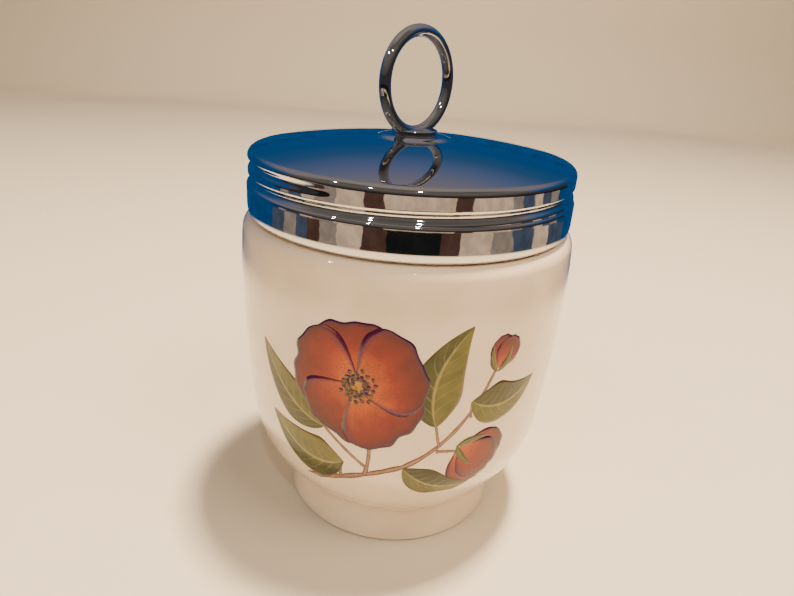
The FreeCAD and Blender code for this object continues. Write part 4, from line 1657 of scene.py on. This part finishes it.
@dataclass
class Studio:
    """Plain pale floor and backdrop, the lights, the glowing card of painted reflections and the surrounding
    air.
    """

    aim: tuple[float, float, float] = (0.0, 0.0, 0.05)
    floor_colour: Colour = srgb(214, 202, 182)
    sweep_depth: float = 0.7
    sweep_radius: float = 0.12
    sweep_height: float = 0.2
    sweep_steps: int = 16
    backdrop_height: float = 0.9
    sweep_width: float = 3.0
    air_colour: Colour = srgb(108, 100, 90)
    sky_strength: float = 0.8
    lights: list[SoftLight] = field(default_factory=lambda: [
        SoftLight("key_light", (0.30, -0.22, 0.56), (0.30, 0.30), 3.0, srgb(255, 230, 194)),
        SoftLight("fill_light", (-0.50, -0.40, 0.45), (0.40, 0.50), 1.8, srgb(255, 234, 204)),
        SoftLight("top_light", (0.10, 0.05, 0.74), (0.07, 0.07), 16.5, srgb(255, 232, 200)),
        SoftLight("left_sparkle", (-0.47, -0.21, 0.66), (0.022, 0.022), 0.3, mirrored=True),
        SoftLight("middle_sparkle", (-0.28, -0.43, 0.66), (0.022, 0.022), 0.3, mirrored=True),
        SoftLight("right_sparkle", (0.07, -0.51, 0.66), (0.028, 0.028), 0.9, mirrored=True),
    ])
    sky_behind: tuple[tuple[float, Colour], ...] = (
        (0.5, srgb(9, 84, 146)), (0.62, srgb(9, 84, 146)), (0.68, srgb(52, 94, 142)),
        (0.727, srgb(98, 114, 156)), (0.79, srgb(146, 138, 146)), (0.91, srgb(160, 150, 144)),
        (1.0, srgb(176, 164, 156)),
    )
    sky_ahead: tuple[tuple[float, Colour], ...] = (
        (0.5, srgb(66, 60, 56)), (0.6, srgb(92, 86, 78)), (0.8, srgb(122, 116, 110)),
        (0.93, srgb(104, 98, 92)), (1.0, srgb(176, 164, 156)),
    )

    def build(self) -> None:
        """Makes the floor, the lights, the glowing card of painted reflections and the world."""
        self.build_sweep()
        for light in self.lights:
            self.build_light(light)
        PaintedReflectionCard().build()
        self.build_world()

    def paint(self, name: str, colour: Colour, roughness: float, glow: float = 0.0) -> bpy.types.Material:
        """Makes a plain studio paint.

        Args:
            name: Name of the material.
            colour: Its colour.
            roughness: Its roughness.
            glow: Strength of its own light.

        Returns:
            The material.
        """
        made = bpy.data.materials.new(name)
        made.use_nodes = True
        shader = made.node_tree.nodes["Principled BSDF"]
        shader.inputs["Base Color"].default_value = rgba(colour)
        shader.inputs["Roughness"].default_value = roughness
        shader.inputs["Emission Color"].default_value = rgba(colour)
        shader.inputs["Emission Strength"].default_value = glow
        return made

    def build_sweep(self) -> None:
        """Makes the floor and the backdrop that it curves up into."""
        outline = [(-self.sweep_depth * 2, 0.0), (self.sweep_depth, 0.0)]
        for step in range(1, self.sweep_steps + 1):
            angle = math.pi / 2 * step / self.sweep_steps
            depth = self.sweep_depth + self.sweep_radius * math.sin(angle)
            outline.append((depth, self.sweep_radius * (1 - math.cos(angle))))
        outline.append((self.sweep_depth + self.sweep_radius, self.sweep_height))
        paper = self.paint("studio_paper", self.floor_colour, 0.6)
        self.hang("studio_sweep", outline, paper)
        depth, height = outline[-1]
        upper = self.hang("studio_backdrop", [(depth, height), (depth, self.backdrop_height)], paper)
        upper.visible_glossy = False

    def hang(self, name: str, outline: Sequence[Point], paper: bpy.types.Material) -> bpy.types.Object:
        """Makes a width of paper along an outline.

        Args:
            name: Name of the piece.
            outline: Its depth and height in metres.
            paper: Its material.

        Returns:
            The piece.
        """
        half = self.sweep_width / 2
        vertices = [(side * half, depth, height) for depth, height in outline for side in (-1, 1)]
        faces = [(2 * row, 2 * row + 1, 2 * row + 3, 2 * row + 2) for row in range(len(outline) - 1)]
        made = new_piece(name, vertices, faces)
        made.data.materials.append(paper)
        return made

    def build_light(self, light: SoftLight) -> None:
        """Makes one soft light."""
        data = bpy.data.lights.new(light.name, "AREA")
        data.shape = "RECTANGLE"
        data.size, data.size_y = light.size
        data.energy = light.power
        data.color = light.colour
        lamp = bpy.data.objects.new(light.name, data)
        turn = (Vector(self.aim) - Vector(light.place)).to_track_quat("-Z", "Y").to_matrix().to_4x4()
        lamp.matrix_world = Matrix.Translation(light.place) @ turn
        lamp.visible_glossy = light.mirrored
        bpy.context.scene.collection.objects.link(lamp)

    def build_world(self) -> None:
        """Makes the surrounding light: plain and pale, but graded from slate to warm grey in reflections."""
        world = bpy.data.worlds.new("studio_air")
        world.use_nodes = True
        bpy.context.scene.world = world
        maths = NodeMaths(world.node_tree)
        place = maths.node("ShaderNodeTexCoord").outputs["Generated"]
        parts = maths.parts(place)
        height = maths.times_add(parts["Z"], 0.5, 0.5)
        behind = maths.smooth(parts["Y"], -0.12, 0.12)
        sky = maths.mix(behind, maths.ramp(height, self.sky_ahead), maths.ramp(height, self.sky_behind))
        path = maths.node("ShaderNodeLightPath").outputs
        air = maths.mix(path["Is Camera Ray"], rgba(self.air_colour), rgba(self.floor_colour))
        backing = world.node_tree.nodes["Background"]
        maths.feed(backing.inputs["Color"], maths.mix(path["Is Glossy Ray"], air, sky))
        backing.inputs["Strength"].default_value = self.sky_strength


@dataclass(frozen=True)
class Camera:
    """The camera at the photograph's viewing angle, close to the object and slightly rolled."""

    distance: float = 122.1
    elevation: float = 23.35
    roll: float = 3.911
    target: tuple[float, float, float] = (-1.09, 0.0, 43.2)
    focal_pixels: float = 596.0
    frame_pixels: float = 794.0
    sensor: float = 36.0
    clip: tuple[float, float] = (0.005, 20.0)

    def build(self) -> bpy.types.Object:
        """Makes the camera and gives it to the scene."""
        data = bpy.data.cameras.new("camera")
        data.sensor_width = self.sensor
        data.lens = self.focal_pixels / self.frame_pixels * self.sensor
        data.clip_start, data.clip_end = self.clip
        camera = bpy.data.objects.new("camera", data)
        lean = math.radians(self.elevation)
        target = Vector(self.target) * MM
        back = Vector((0, -math.cos(lean), math.sin(lean)))
        turn = (-back).to_track_quat("-Z", "Y").to_matrix().to_4x4()
        roll = Matrix.Rotation(math.radians(self.roll), 4, "Z")
        camera.matrix_world = Matrix.Translation(target + back * self.distance * MM) @ turn @ roll
        bpy.context.scene.collection.objects.link(camera)
        bpy.context.scene.camera = camera
        return camera


def main() -> None:
    """Builds the coddler and its studio, piece by piece."""
    logging.basicConfig(level=logging.INFO, format="%(name)s: %(message)s")
    cup_form = CupForm()
    thread = ThreadForm()
    cap_form = CapForm(cup_form, thread)
    thread_tree = thread.tree()
    chrome = MirrorChrome().material()
    PorcelainCup(cup_form, cap_form).build(thread_tree)
    PrintedSpray(cup_form).build()
    cap = ScrewCap(cap_form)
    cap.build(thread_tree, chrome)
    cap.dress_washer()
    ring = LiftingRing(cap_form)
    ring.build_ring(chrome)
    ring.build_stud(chrome)
    Studio().build()
    Camera().build()


if __name__ == "__main__":
    main()
